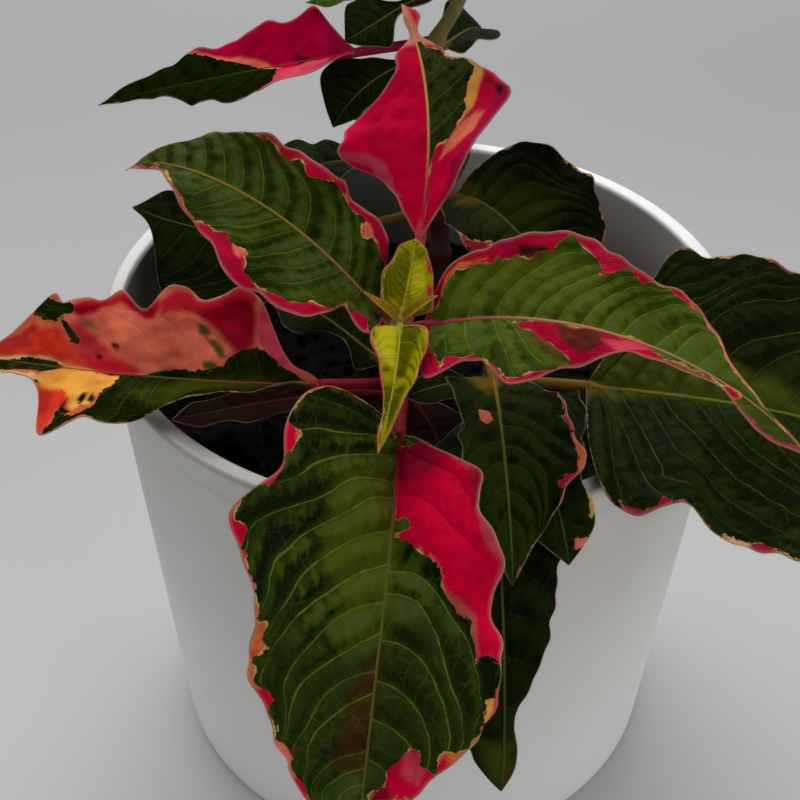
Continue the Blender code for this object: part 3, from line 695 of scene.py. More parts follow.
leafSizes = {
    "front": dict(
        stem="main", height=124, heading=272, turn=-13, pitch=(22, -25, -71),
        roll=(8, -1), fold=(51, -3, 62, -16), wave=(1.8, 4, 0.1, 0.45),
        petiole=29, length=83.5, slot="leaf_green", look="leafGreen", quilt=1.3,
        left=(8.5, 19, 18, 23, 21, 23, 22.5, 19.5, 13, 7, 3.5),
        right=(24.5, 30.5, 28, 34, 26.5, 23, 23, 18, 15, 12, 6)),
    "right": dict(
        stem="main", height=141, heading=-31, turn=7, pitch=(37, 5, -44),
        roll=(-20, 10), fold=(33, 5, 0, -24), wave=(1.5, 4, 0.3, 0),
        petiole=6.5, length=80, slot="leaf_fresh", look="leafFresh",
        left=(12.5, 14, 15.5, 18.5, 16.5, 12, 14, 10.5, 4, 3, 1),
        right=(14.5, 9, 11.5, 16, 9.5, 5.5, 3.5, 1, 1, 4, 3)),
    "upper_left": dict(
        stem="main", height=140, heading=208, turn=-67, pitch=(55, 38, -43),
        roll=(16, 11), fold=(-1, -1, 24, 4), wave=(1.4, 4, 0.2, 0.7),
        petiole=7.5, length=65, slot="leaf_fresh", look="leafOlive",
        left=(9.5, 7, 14, 18, 16.5, 19.5, 12.5, 9.5, 5.5, 1.5, 1),
        right=(12, 13.5, 14, 14, 12.5, 14.5, 12.5, 10.5, 9.5, 5, 2)),
    "upright": dict(
        stem="main", height=126, heading=65, turn=46, pitch=(82, 37, 17),
        roll=(25, 7), fold=(-2, -5, 35, 6), wave=(1.2, 3, 0.1, 0.5),
        petiole=26.5, length=56, slot="leaf_pink", look="leafUpright", veins=9, quilt=0.3,
        left=(4.5, 7.5, 12.5, 19, 18.5, 16.5, 11, 6, 5, 1, 1),
        right=(5.5, 10, 13.5, 15.5, 20, 16.5, 12, 6.5, 4.5, 1, 2.5)),
    "left": dict(
        stem="main", height=112, heading=216, turn=-63, pitch=(21, 7, -15),
        roll=(-1, 6), fold=(30, -3, 50, 22), wave=(2, 4, 0, 0.4),
        petiole=21, length=74, slot="leaf_salmon", look="leafSalmon", quilt=0.5,
        left=(1, 1.5, 6.5, 12, 9.5, 20.5, 19, 21, 7, 4.5, 2.5),
        right=(6, 17, 18, 18.5, 19, 13.5, 18.5, 15, 13.5, 16.5, 6)),
    "lower_right": dict(
        stem="side", height=118, heading=-30, turn=47, pitch=(19, -6, -56),
        roll=(-9, -41), fold=(29, 9, 9, -10), wave=(1.8, 4, 0.6, 0.2),
        petiole=22, length=86, slot="leaf_green", look="leafBroad", quilt=1.7,
        left=(17, 28.5, 29.5, 31, 27.5, 27.5, 25.5, 22, 17.5, 12, 6),
        right=(24, 31, 26.5, 30.5, 30, 31, 27.5, 23.5, 18, 12, 6)),
    "young_back": dict(
        stem="main", height=148.5, heading=74, turn=7, pitch=(54, 40, 37),
        roll=(-8, -1), fold=(30, 25, 18, 24), wave=(0.5, 2, 0.2, 0.6),
        petiole=1.4, length=15.6, slot="leaf_young", look="leafYoung", start=0.9, stalk=0.6, quilt=0.4,
        left=(4.4, 5.2, 5.5, 5.5, 4.2, 3.5, 3), right=(5.8, 5.9, 5.7, 5.2, 4.2, 3.5, 2.5)),
    "young_front": dict(
        stem="main", height=148.5, heading=273, turn=-20, pitch=(23, -24, -31),
        roll=(0, 0), fold=(25, 22, 25, 23), wave=(0.4, 2, 0, 0.5),
        petiole=1.6, length=28.4, slot="leaf_young", look="leafYoung", start=0.9, stalk=0.6, quilt=0.4,
        left=(4.9, 6, 5.2, 4.3, 3, 2, 1), right=(5.2, 5.6, 4, 2.6, 1.6, 1, 1)),
    "front_right": dict(
        stem="side", height=124, heading=270, turn=6, pitch=(28, 1, -63),
        roll=(0, 4), fold=(14, 3, 15, 11), wave=(1, 3, 0.2, 0.6),
        petiole=9.5, length=54.5, slot="leaf_green", look="leafDeep",
        left=(6, 10, 12, 12.5, 14, 14.5, 10, 7, 3),
        right=(6.5, 10, 8.5, 7.5, 8.5, 8.5, 8, 6.5, 3)),
    "top_left": dict(
        stem="back", height=165, heading=170, turn=6, pitch=(-14, -16, -19),
        roll=(1, 10), fold=(18, -6, 28, 12), wave=(1.2, 4, 0.3, 0.8),
        petiole=18.5, length=64.5, slot="leaf_pink", look="leafTop", quilt=0.3,
        left=(6.5, 14, 17.5, 14, 16, 13.5, 10, 5, 4.5, 1, 1),
        right=(7, 15, 13, 12.5, 10.5, 10.5, 8.5, 8, 7, 4, 3)),
    "hanging": dict(
        stem="side", height=104, heading=268, turn=8, pitch=(44, -11, -95),
        roll=(-1, -6), fold=(-2, -8, 7, 1), wave=(1.4, 4, 0.5, 0.2),
        petiole=27.5, length=89, slot="leaf_green", look="leafDark",
        left=(8, 13.5, 16, 13.5, 10.5, 9, 6, 2, 2.5),
        right=(8, 13.5, 17.5, 19, 17, 13.5, 11, 8.5, 5.5)),
    "corner": dict(
        stem="side", height=110, heading=275, turn=14, pitch=(39, 17, -62),
        roll=(0, -5), fold=(0, 8, 1, 3), wave=(1.4, 3, 0.1, 0.5),
        petiole=14, length=58.5, slot="leaf_green", look="leafDark",
        left=(5.5, 9.5, 12, 11, 8, 5.5, 6.5), right=(5.5, 9, 11.5, 12.5, 11, 9, 6.5)),
    "back_right": dict(
        stem="back", height=121, heading=-53, turn=-7, pitch=(73, -4, 5),
        roll=(-11, -4), fold=(48, 28, 14, 2), wave=(1.4, 3, 0.4, 0.1),
        petiole=11.5, length=50.5, slot="leaf_green", look="leafDark",
        left=(10.5, 15.5, 18.5, 20, 17.5, 15, 8.5), right=(8.5, 11.5, 13, 13.5, 12.5, 10, 5.5)),
    "back_left": dict(
        stem="back", height=124, heading=210, turn=-37, pitch=(-2, 3, 23),
        roll=(-6, 11), fold=(-15, -37, 3, 13), wave=(1.4, 3, 0.2, 0.6),
        petiole=16, length=57.5, slot="leaf_green", look="leafDark",
        left=(4.5, 8, 11.5, 14.5, 17.5, 20, 20.5, 16.5, 3.5),
        right=(4.5, 8, 10, 11.5, 11.5, 11, 9.5, 9, 7)),
    "back": dict(
        stem="back", height=136, heading=172, turn=9, pitch=(4, -13, -19),
        roll=(-4, -3), fold=(-5, -15, 3, 21), wave=(1, 3, 0.3, 0.7),
        petiole=8.5, length=34.5, slot="leaf_green", look="leafDark",
        left=(3, 5, 7, 8.5, 9.5, 8.5, 5), right=(2.5, 4, 5, 7, 9, 10.5, 7)),
    "top_under": dict(
        stem="back", height=160, heading=183, turn=17, pitch=(5, -35, -59),
        roll=(11, 20), fold=(-7, -12, 11, 18), wave=(0.6, 2, 0.2, 0.6),
        petiole=4, length=25, slot="leaf_green", look="leafDark",
        left=(1.5, 2, 4, 6, 4.5, 4, 2.5), right=(2, 3, 5.5, 8.5, 11, 10, 5)),
    "top_right": dict(
        stem="back", height=163, heading=65, turn=0, pitch=(-17, -9, -46),
        roll=(-18, -11), fold=(20, 34, -7, 18), wave=(0.8, 2, 0.1, 0.5),
        petiole=4.5, length=25.5, slot="leaf_green", look="leafDark",
        left=(3, 4.5, 6, 7.5, 8, 6.5, 3), right=(4, 4.5, 4.5, 5.5, 7, 6, 3.5)),
    "top_back": dict(
        stem="back", height=178, heading=186, turn=1, pitch=(1, -30, -29),
        roll=(6, 21), fold=(-7, -22, 11, 17), wave=(0.8, 2, 0.4, 0.8),
        petiole=4, length=24.5, slot="leaf_green", look="leafDark",
        left=(1.5, 1.5, 2, 3, 6.5, 5, 3), right=(1.5, 2, 2, 4, 6, 7.5, 7)),
    "top_green": dict(
        stem="back", height=186, heading=153, turn=1, pitch=(9, -37, -17),
        roll=(9, 11), fold=(-14, -17, 0, 0), wave=(1, 3, 0.2, 0.6),
        petiole=3.5, length=44, slot="leaf_green", look="leafGreen",
        left=(3, 5, 6.5, 7, 6, 4, 2), right=(4.5, 7.5, 10, 11, 10.5, 8.5, 4.5)),
    "inner_left": dict(
        stem="main", height=119, heading=144, turn=17, pitch=(0, 24, -22),
        roll=(17, 3), fold=(-22, 0, 10, 10), wave=(0.8, 3, 0.3, 0.6),
        petiole=5, length=29, slot="leaf_green", look="leafDark",
        left=(4.5, 2.5, 2, 2.5, 7, 7, 4), right=(2.5, 3, 4, 5.5, 7, 6, 3.5)),
    "inner_right": dict(
        stem="side", height=114, heading=214, turn=-15, pitch=(40, 8, -15),
        roll=(2, 6), fold=(6, 1, 10, 10), wave=(0.5, 2, 0.3, 0.6),
        petiole=5, length=16, slot="leaf_green", look="leafDark", start=3.6,
        left=(2, 3, 4.5, 5.5, 4.5, 4, 3), right=(2, 3, 4, 4.5, 4, 3.5, 2)),
    "inner_front": dict(
        stem="main", height=103, heading=291, turn=-8, pitch=(30, 13, -21),
        roll=(0, 0), fold=(10, 5, 10, 5), wave=(0.8, 2, 0.1, 0.4),
        petiole=10, length=31, slot="leaf_dull", look="leafDull",
        left=(3.5, 6, 7.5, 8, 7, 5.5, 3), right=(3.5, 6, 7.5, 8, 7, 5.5, 3)),
    "low_left": dict(
        stem="main", height=101, heading=183, turn=7, pitch=(14, -7, -7),
        roll=(-2, 1), fold=(15, 5, 12, 8), wave=(0.8, 3, 0.2, 0.5),
        petiole=14, length=38, slot="leaf_green", look="leafDull",
        left=(4, 6.5, 7.5, 7, 6, 5, 3.5), right=(4, 6, 6.5, 5, 4, 4.5, 3.5)),
    "rear": dict(
        stem="back", height=112, heading=101, turn=0, pitch=(40, 5, -55),
        roll=(0, 0), fold=(10, 5, 10, 5), wave=(1, 3, 0.2, 0.6),
        petiole=12, length=58, slot="leaf_green", look="leafGreen",
        left=oval(16), right=oval(14)),
    "rear_right": dict(
        stem="side", height=109, heading=72, turn=-2, pitch=(38, 14, -35),
        roll=(0, 0), fold=(10, 5, 10, 5), wave=(1, 3, 0.2, 0.6),
        petiole=14, length=50, slot="leaf_green", look="leafGreen",
        left=oval(12), right=oval(12)),
    "crown_back": dict(
        stem="back", height=187, heading=95, turn=0, pitch=(35, 10, -20),
        roll=(0, 0), fold=(10, 5, 10, 5), wave=(1, 3, 0.2, 0.6),
        petiole=5, length=40, slot="leaf_green", look="leafGreen",
        left=oval(11), right=oval(11)),
    "crown_front": dict(
        stem="back", height=189, heading=275, turn=0, pitch=(50, 25, 0),
        roll=(0, 0), fold=(10, 5, 10, 5), wave=(1, 3, 0.2, 0.6),
        petiole=6.5, length=31.5, slot="leaf_green", look="leafGreen",
        left=oval(9.5), right=oval(9.5)),
    "crown_left": dict(
        stem="back", height=194, heading=185, turn=0, pitch=(50, 35, 15),
        roll=(0, 0), fold=(10, 5, 10, 5), wave=(0.4, 2, 0.2, 0.6),
        petiole=3, length=20, slot="leaf_young", look="leafYoung", start=1.4, stalk=0.7,
        left=oval(5.5), right=oval(5.5)),
    "crown_right": dict(
        stem="back", height=194, heading=5, turn=0, pitch=(50, 35, 15),
        roll=(0, 0), fold=(10, 5, 10, 5), wave=(0.4, 2, 0.2, 0.6),
        petiole=3, length=22, slot="leaf_young", look="leafYoung", start=1.4, stalk=0.7,
        left=oval(6), right=oval(6)),
    "apex_left": dict(
        stem="main", height=145, heading=184, turn=-10, pitch=(62, 46, 40),
        roll=(35, 20), fold=(45, 35, 45, 35), wave=(0.05, 1, 0, 0),
        petiole=1.0, length=9.2, slot="leaf_young", look="leafApex", stalk=0.45, node=False,
        left=(1, 1.3, 1.2, 0.9, 0.5), right=(1, 1.3, 1.2, 0.9, 0.5)),
    "apex_right": dict(
        stem="main", height=145, heading=-6, turn=14, pitch=(66, 44, 30),
        roll=(-35, -20), fold=(45, 35, 45, 35), wave=(0.05, 1, 0, 0),
        petiole=1.0, length=9.0, slot="leaf_young", look="leafApex", stalk=0.45, node=False,
        left=(1, 1.4, 1.4, 1.1, 0.6), right=(1, 1.4, 1.4, 1.1, 0.6)),
}


def stemAt(stem, height):
    points = np.array(stemSizes[stem]["points"], float)
    return np.array([np.interp(height, points[:, 2], points[:, k]) for k in range(3)])


def stemMaterial():
    made, tree, shader, place = newMaterial("stemSkin")
    streaks = addNode(tree, "Mapping", {"Vector": place, "Scale": (1.0, 1.0, 0.18)}).outputs[0]
    grain = useGroup(tree, fineGrain, {"Place": streaks, "Patch size": 420.0, "Grain size": 2600.0})
    node = addNode(tree, "Attribute", attribute_name="node").outputs["Fac"]
    colour = mixed(tree, rise(tree, grain["Patches"], 0.35, 0.6), stemLook["red"], stemLook["brown"])
    colour = mixed(tree, rise(tree, clouds(tree, place, 90), 0.45, 0.65), colour, stemLook["green"])
    colour = mixed(tree, times(tree, node, 0.6), colour, stemLook["red"])
    y, z = axes(tree, place)[1:]
    shaded = mixed(tree, 1.0, colour, stemLook["shade"], "MULTIPLY")
    colour = mixed(tree, rise(tree, y, 0.0, 0.02), colour, shaded)
    colour = mixed(tree, rise(tree, z, 0.150, 0.168, 0.0, 0.85), colour, stemLook["top"])
    tip = times(tree, rise(tree, z, 0.139, 0.143), rise(tree, y, -0.03, -0.02, 0.9, 0.0))
    colour = mixed(tree, tip, colour, stemLook["tip"])
    gloss = rise(tree, grain["Patches"], 0.3, 0.7, 0.4, 0.6)
    connect(tree, shader, {"Base Color": colour, "Roughness": gloss}, grain["Height"], 0.4, 0.3)
    return made


def makeStem(name, material):
    sizes = stemSizes[name]
    path = np.array(sizes["points"], float)
    heights = np.arange(path[0, 2], path[-1, 2], stemLook["spacing"])
    line = np.stack([np.interp(heights, path[:, 2], path[:, k]) for k in range(3)], 1)
    for _ in range(12):  # ease the bends
        line[1:-1] = (line[:-2] + 2 * line[1:-1] + line[2:]) / 4
    line = np.vstack([line, path[-1], path[-1] + 0.8 * unit(path[-1] - path[-2])])
    nodes = np.array([leaf["height"] for leaf in leafSizes.values() if leaf["stem"] == name], float)
    low, high = path[1, 2], path[-1, 2]
    share = np.clip((line[:, 2] - low) / (high - low), 0, 1)
    near = np.exp(-((line[:, 2:3] - nodes) / stemLook["nodeReach"]) ** 2).max(1)
    radius = sizes["radius"][0] + (sizes["radius"][1] - sizes["radius"][0]) * share
    radius = radius * (0.97 + stemLook["nodeSwell"] * near)
    radius[-1] *= 0.5
    along = unit(np.gradient(line, axis=0))
    side = unit(np.cross(along, (0, 1, 0.2)))
    up = np.cross(side, along)
    turns = np.linspace(math.pi, -math.pi, stemLook["sides"], endpoint=False)
    ridge = 1 + 0.03 * np.sin(4 * turns)
    points = line[:, None] + (radius[:, None] * ridge)[..., None] * (
        np.cos(turns)[None, :, None] * side[:, None] + np.sin(turns)[None, :, None] * up[:, None])
    points = points.reshape(-1, 3)
    points = points + 0.08 * lumps(points, 2.5, 21)[:, None]
    faces = ringFaces(len(line), stemLook["sides"])
    piece = newPiece("plantStem_" + name, points, faces, material,
                     {"node": np.repeat(near, stemLook["sides"])})
    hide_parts("stem_" + name)
    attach(piece, "root")


stemSkin = stemMaterial()
for stemName in stemSizes:
    makeStem(stemName, stemSkin)
print("stems ready")


# Leaves: a stalk that flattens into a thin waved blade, one closed skin each

traceForm = {
    "rows": 200,  # points along and across a blade that a traced pixel can fall on
    "columns": 80,
    "nearer": 0.02,  # pixels for each mm that another point is nearer to the camera
    "beyond": 0.02,  # growth of the share across for each pixel past the margin
}

veinForm = {
    "steps": 6,
    "foot": 0.08,  # a vein that starts this near to the midrib starts on it
    "leastLean": 0.25,
    "mostLean": 1.2,
    "apart": 0.012,  # least distance between neighbours, as a share of the blade
    "more": 8,  # veins added before the first drawn one and after the last
    "firstApart": 0.07,
    "lastApart": 0.03,
    "firstShow": 0.4,
    "lastShow": 0.6,
}

leafForm = {
    # sizes in mm
    "stalk": 1.1, "tip": 0.14, "lineSteps": 256, "rowSpacing": 0.62, "columnSpacing": 0.62,
    "blade": 0.24,  # half of the thickness, which falls to edgeBlade at the margin
    "edgeBlade": 0.1,
    "ribWidth": 0.31,
    "ribGroove": 0.35,
    "ribCrest": 0.26,
    "quilt": 0.62,  # swell between the side veins
    "rungs": 0.10,
    "swell": 0.14,
    "ripple": 0.28,  # fine waver of the margin
    "foldEase": 0.05,
    "veinCount": 10,
    "hairLength": 0.7, "hairWidth": 0.05, "hairSpacing": 0.45,
}

# Main side veins of the best seen leaves, traced from the midrib outwards, in photo pixels,
# with how much each one shows
veinTraces = {
    "front": dict(
        left=(
            (0.6, "398,446 415,454 465,488 477,504"),
            (0.9, "397,492 415,495 431,504 443,516 471,550 499,566"),
            (0.8, "396,571.5 411,573.5 423,580 435,592 455,618 467,640 477,670 479,692 479,716"),
            (1, "393,592 401,594 415,602 429,616 437,630 442,646 444,664 451,692 463,720"),
            (1, "389,641 403,646 417,657 429,670 437,684 448,718 446,756"),
            (0.8, "383,682 395,688 407,698 417,708 423,718 427,728 429,740 429,760"),
            (0.8, "376,720 385,723 405,740 413,750 417,764"),
            (0.6, "371,760 381,767 389,776 395,790"),
        ),
        right=(
            (1, "392,439.5 353,437 333,429 311,430 297,432.5"),
            (1, "391,455 339,457 319,462 283,478 274,484"),
            (1, "389,477.5 363,477.5 339,484 275,512 253,525 245,536 246,550"),
            (1, "388,493.5 375,496 351,508 327,522 303,539 279,561 263,580 258,604"),
            (0.8, "388,528.5 375,531 345,546 323,559 303,574 293,588 275,620"),
            (1, "387,563 371,567 348,580 323,596 289,623 278,638 272,650 271,662 262,680"),
            (0.7, "385,601 369,603 355,609 323,629 306,648 287,680"),
            (1, "381,633 345,652 323,668 295,694 289,704 284,740"),
            (0.5, "376.5,670 359,674 345,680 331,689 309,720 301,736"),
            (1, "375,692 363,697 331,716 323,728 311,740 306,756 305,772 306,788"),
            (0.4, "367,751 339,758 327,766 315,780"),
            (0.6, "361,768 347,773 335,780 323,792"),
        )
    ),
    "right": dict(
        left=(
            (0.7, "447.5,321 454,295 460,282.5 467.5,274"),
            (1, "467.5,319 470,307.5 476,295 510,260"),
            (1, "495,320 499,305 507.5,292.5 520,280 537.5,267.5 560,257.5 585,252.5 602.5,252.5"),
            (0.45, "517.5,320.5 522.5,307.5 530,295 545,284 590,265 610,262.5"),
            (1, "532.5,320.5 540,307.5 567.5,287.5 585,280 625,270"),
            (0.4, "557.5,322.5 565,310 575,301 590,292.5 610,284 627.5,279"),
            (1, "580,324 597.5,306 615,295 630,289 642.5,286 655,285.5"),
            (0.4, "600,330 607.5,319 620,307.5 635,300 650,295 665,294"),
            (1, "620,337 630,325 642.5,315 660,309 675,306 687.5,307.5"),
            (0.8, "652.5,350 672.5,332.5 685,326 697.5,324"),
            (0.8, "672.5,357 682.5,345 692.5,336 707.5,331 712.5,332.5"),
            (0.8, "697.5,368 717.5,350 725,347.5"),
            (0.8, "719,379 727.5,370 735,365"),
        ),
        right=(
            (0.7, "447.5,323 445,330 446,345 450,355"),
            (1, "465,324.5 466,337.5 472.5,357.5"),
            (1, "495,325 497.5,335 505,347.5 514,372.5"),
            (0.8, "514,326 522.5,340 532.5,352.5 546,364 560,370"),
            (0.6, "535,326 547.5,340 565,355 580,364"),
            (0.6, "575,327.5 585,340 600,352.5"),
            (0.6, "615,337.5 635,355"),
        )
    ),
    "upper_left": dict(
        left=(
            (0.7, "362,291 352,299 326,308"),
            (0.5, "353,279 332,291 300,300"),
            (1, "343,269 332,275 300,283 286,283.5 270,281 258,277"),
            (0.6, "330,258 320,263 290,269 252,268"),
            (1, "313,247.5 270,257.5 248,257 240,255"),
            (0.5, "298,230 268,238 250,241 232,240"),
            (1, "284,215.5 256,224 240,226.5 208,224.5"),
            (0.5, "266,206 236,214 204,216"),
            (1, "248,195 204,208.5 194,210"),
            (0.8, "221,183 190,193"),
            (0.7, "200,173 182,179"),
        ),
        right=(
            (0.6, "373,293 379,274 380,262"),
            (0.8, "360,283 364,250 362,228"),
            (0.9, "348,269 351,254 352,238 348,206"),
            (1, "330.5,249 334,238 335.5,226 334,210 330,196 324,184"),
            (1, "305.5,227 309,218 310,206 307.5,190 302,178 285,154"),
            (0.5, "284,214 287.5,202 287.5,188 284,174 270,150"),
            (1, "262.5,199 264,186 261.5,162 252,140"),
            (0.5, "242,187 244,176 243.5,164 241,152 236,140"),
            (1, "224.5,177 226,166 225,154 219,136"),
            (0.6, "204,169 206,158 205,148 202,140"),
            (0.7, "185,163 186,156 185,148 182,143"),
        )
    ),
    "lower_right": dict(
        left=(
            (1, "595.5,384.5 606.5,371 620,360"),
            (1, "622,384.5 646.5,363.5 695.5,300 722,283.5 733.5,282"),
            (0.5, "646.5,386 691,333.5 709,309 726.5,295.5 766.5,284.5"),
            (1, "673.5,388 711,320 726.5,310 746.5,303.5 769,300 800,299"),
            (1, "704.5,394.5 718,369 733.5,350 751,342 771,335.5 800,333.5"),
            (0.8, "729,400 749,379 762,369 786.5,354.5 800,351"),
            (0.8, "781,410 786.5,402 800,393.5"),
        ),
        right=(
            (0.8, "595.5,391 604.5,402 610,424.5 613.5,462 620,495.5"),
            (1, "600,391.5 624.5,431 638,462 649,482 662,494.5 675.5,502"),
            (1, "615.5,392 629,406.5 646.5,440 660,462 678,480 731,526.5"),
            (0.5, "638,393 653.5,411 666.5,433.5 684.5,455.5 704.5,475.5 726.5,495.5 775.5,526.5"),
            (1, "660,394.5 671,404.5 682,422 713.5,455.5 731,471 775.5,504.5 800,515.5"),
            (0.6, "691,395.5 718,429 755.5,464.5 780,482 800,493.5"),
            (0.7, "716.5,400 724.5,418 735.5,433.5 775.5,466.5 800,482"),
            (1, "742,405.5 758,424.5 789,455.5 800,464.5"),
        )
    ),
    "front_right": dict(
        left=(
            (0.6, "494.5,391 541,400"),
            (0.8, "498,408 525,417.5 553,435"),
            (0.8, "502,425 517,427.5 533,434 545,445 557,459 565,465"),
            (1, "505,445 517,448 531,457 541,471 547,487 546,503"),
            (0.5, "506.5,463 519,467 529,477 537,489 541,505"),
            (0.8, "510,490 525,501 534,513 536,529 535,541"),
            (0.6, "512.5,517 521,525 525,537 525,549"),
        ),
        right=(
            (0.6, "491.5,391 475,403 467,413"),
            (0.6, "493,413 485,415 475,423 465,437"),
            (0.6, "500,440 489,442 479,447 469,459"),
            (0.6, "503,461 493,465 485,474 483,485"),
            (0.6, "507,485 499,489 491,501 488,513"),
            (0.6, "510,509 505,515 499,529"),
        )
    ),
    "left": dict(
        left=(
            (0.5, "248,378.5 230.5,387.5 208.5,394 191.5,397"),
            (0.6, "208.5,378.5 191.5,387.5 178.5,398.5 169.5,401.5"),
            (1, "168.5,374.5 156.5,385 148,398.5 143.5,410"),
            (0.6, "150,375.5 135,387.5 121.5,402.5 115,424.5"),
            (0.7, "128.5,378.5 108.5,387.5 95.5,400.5 90,411.5"),
            (0.5, "102,374.5 82.5,387.5 69.5,400.5 63,415.5"),
        )
    ),
}
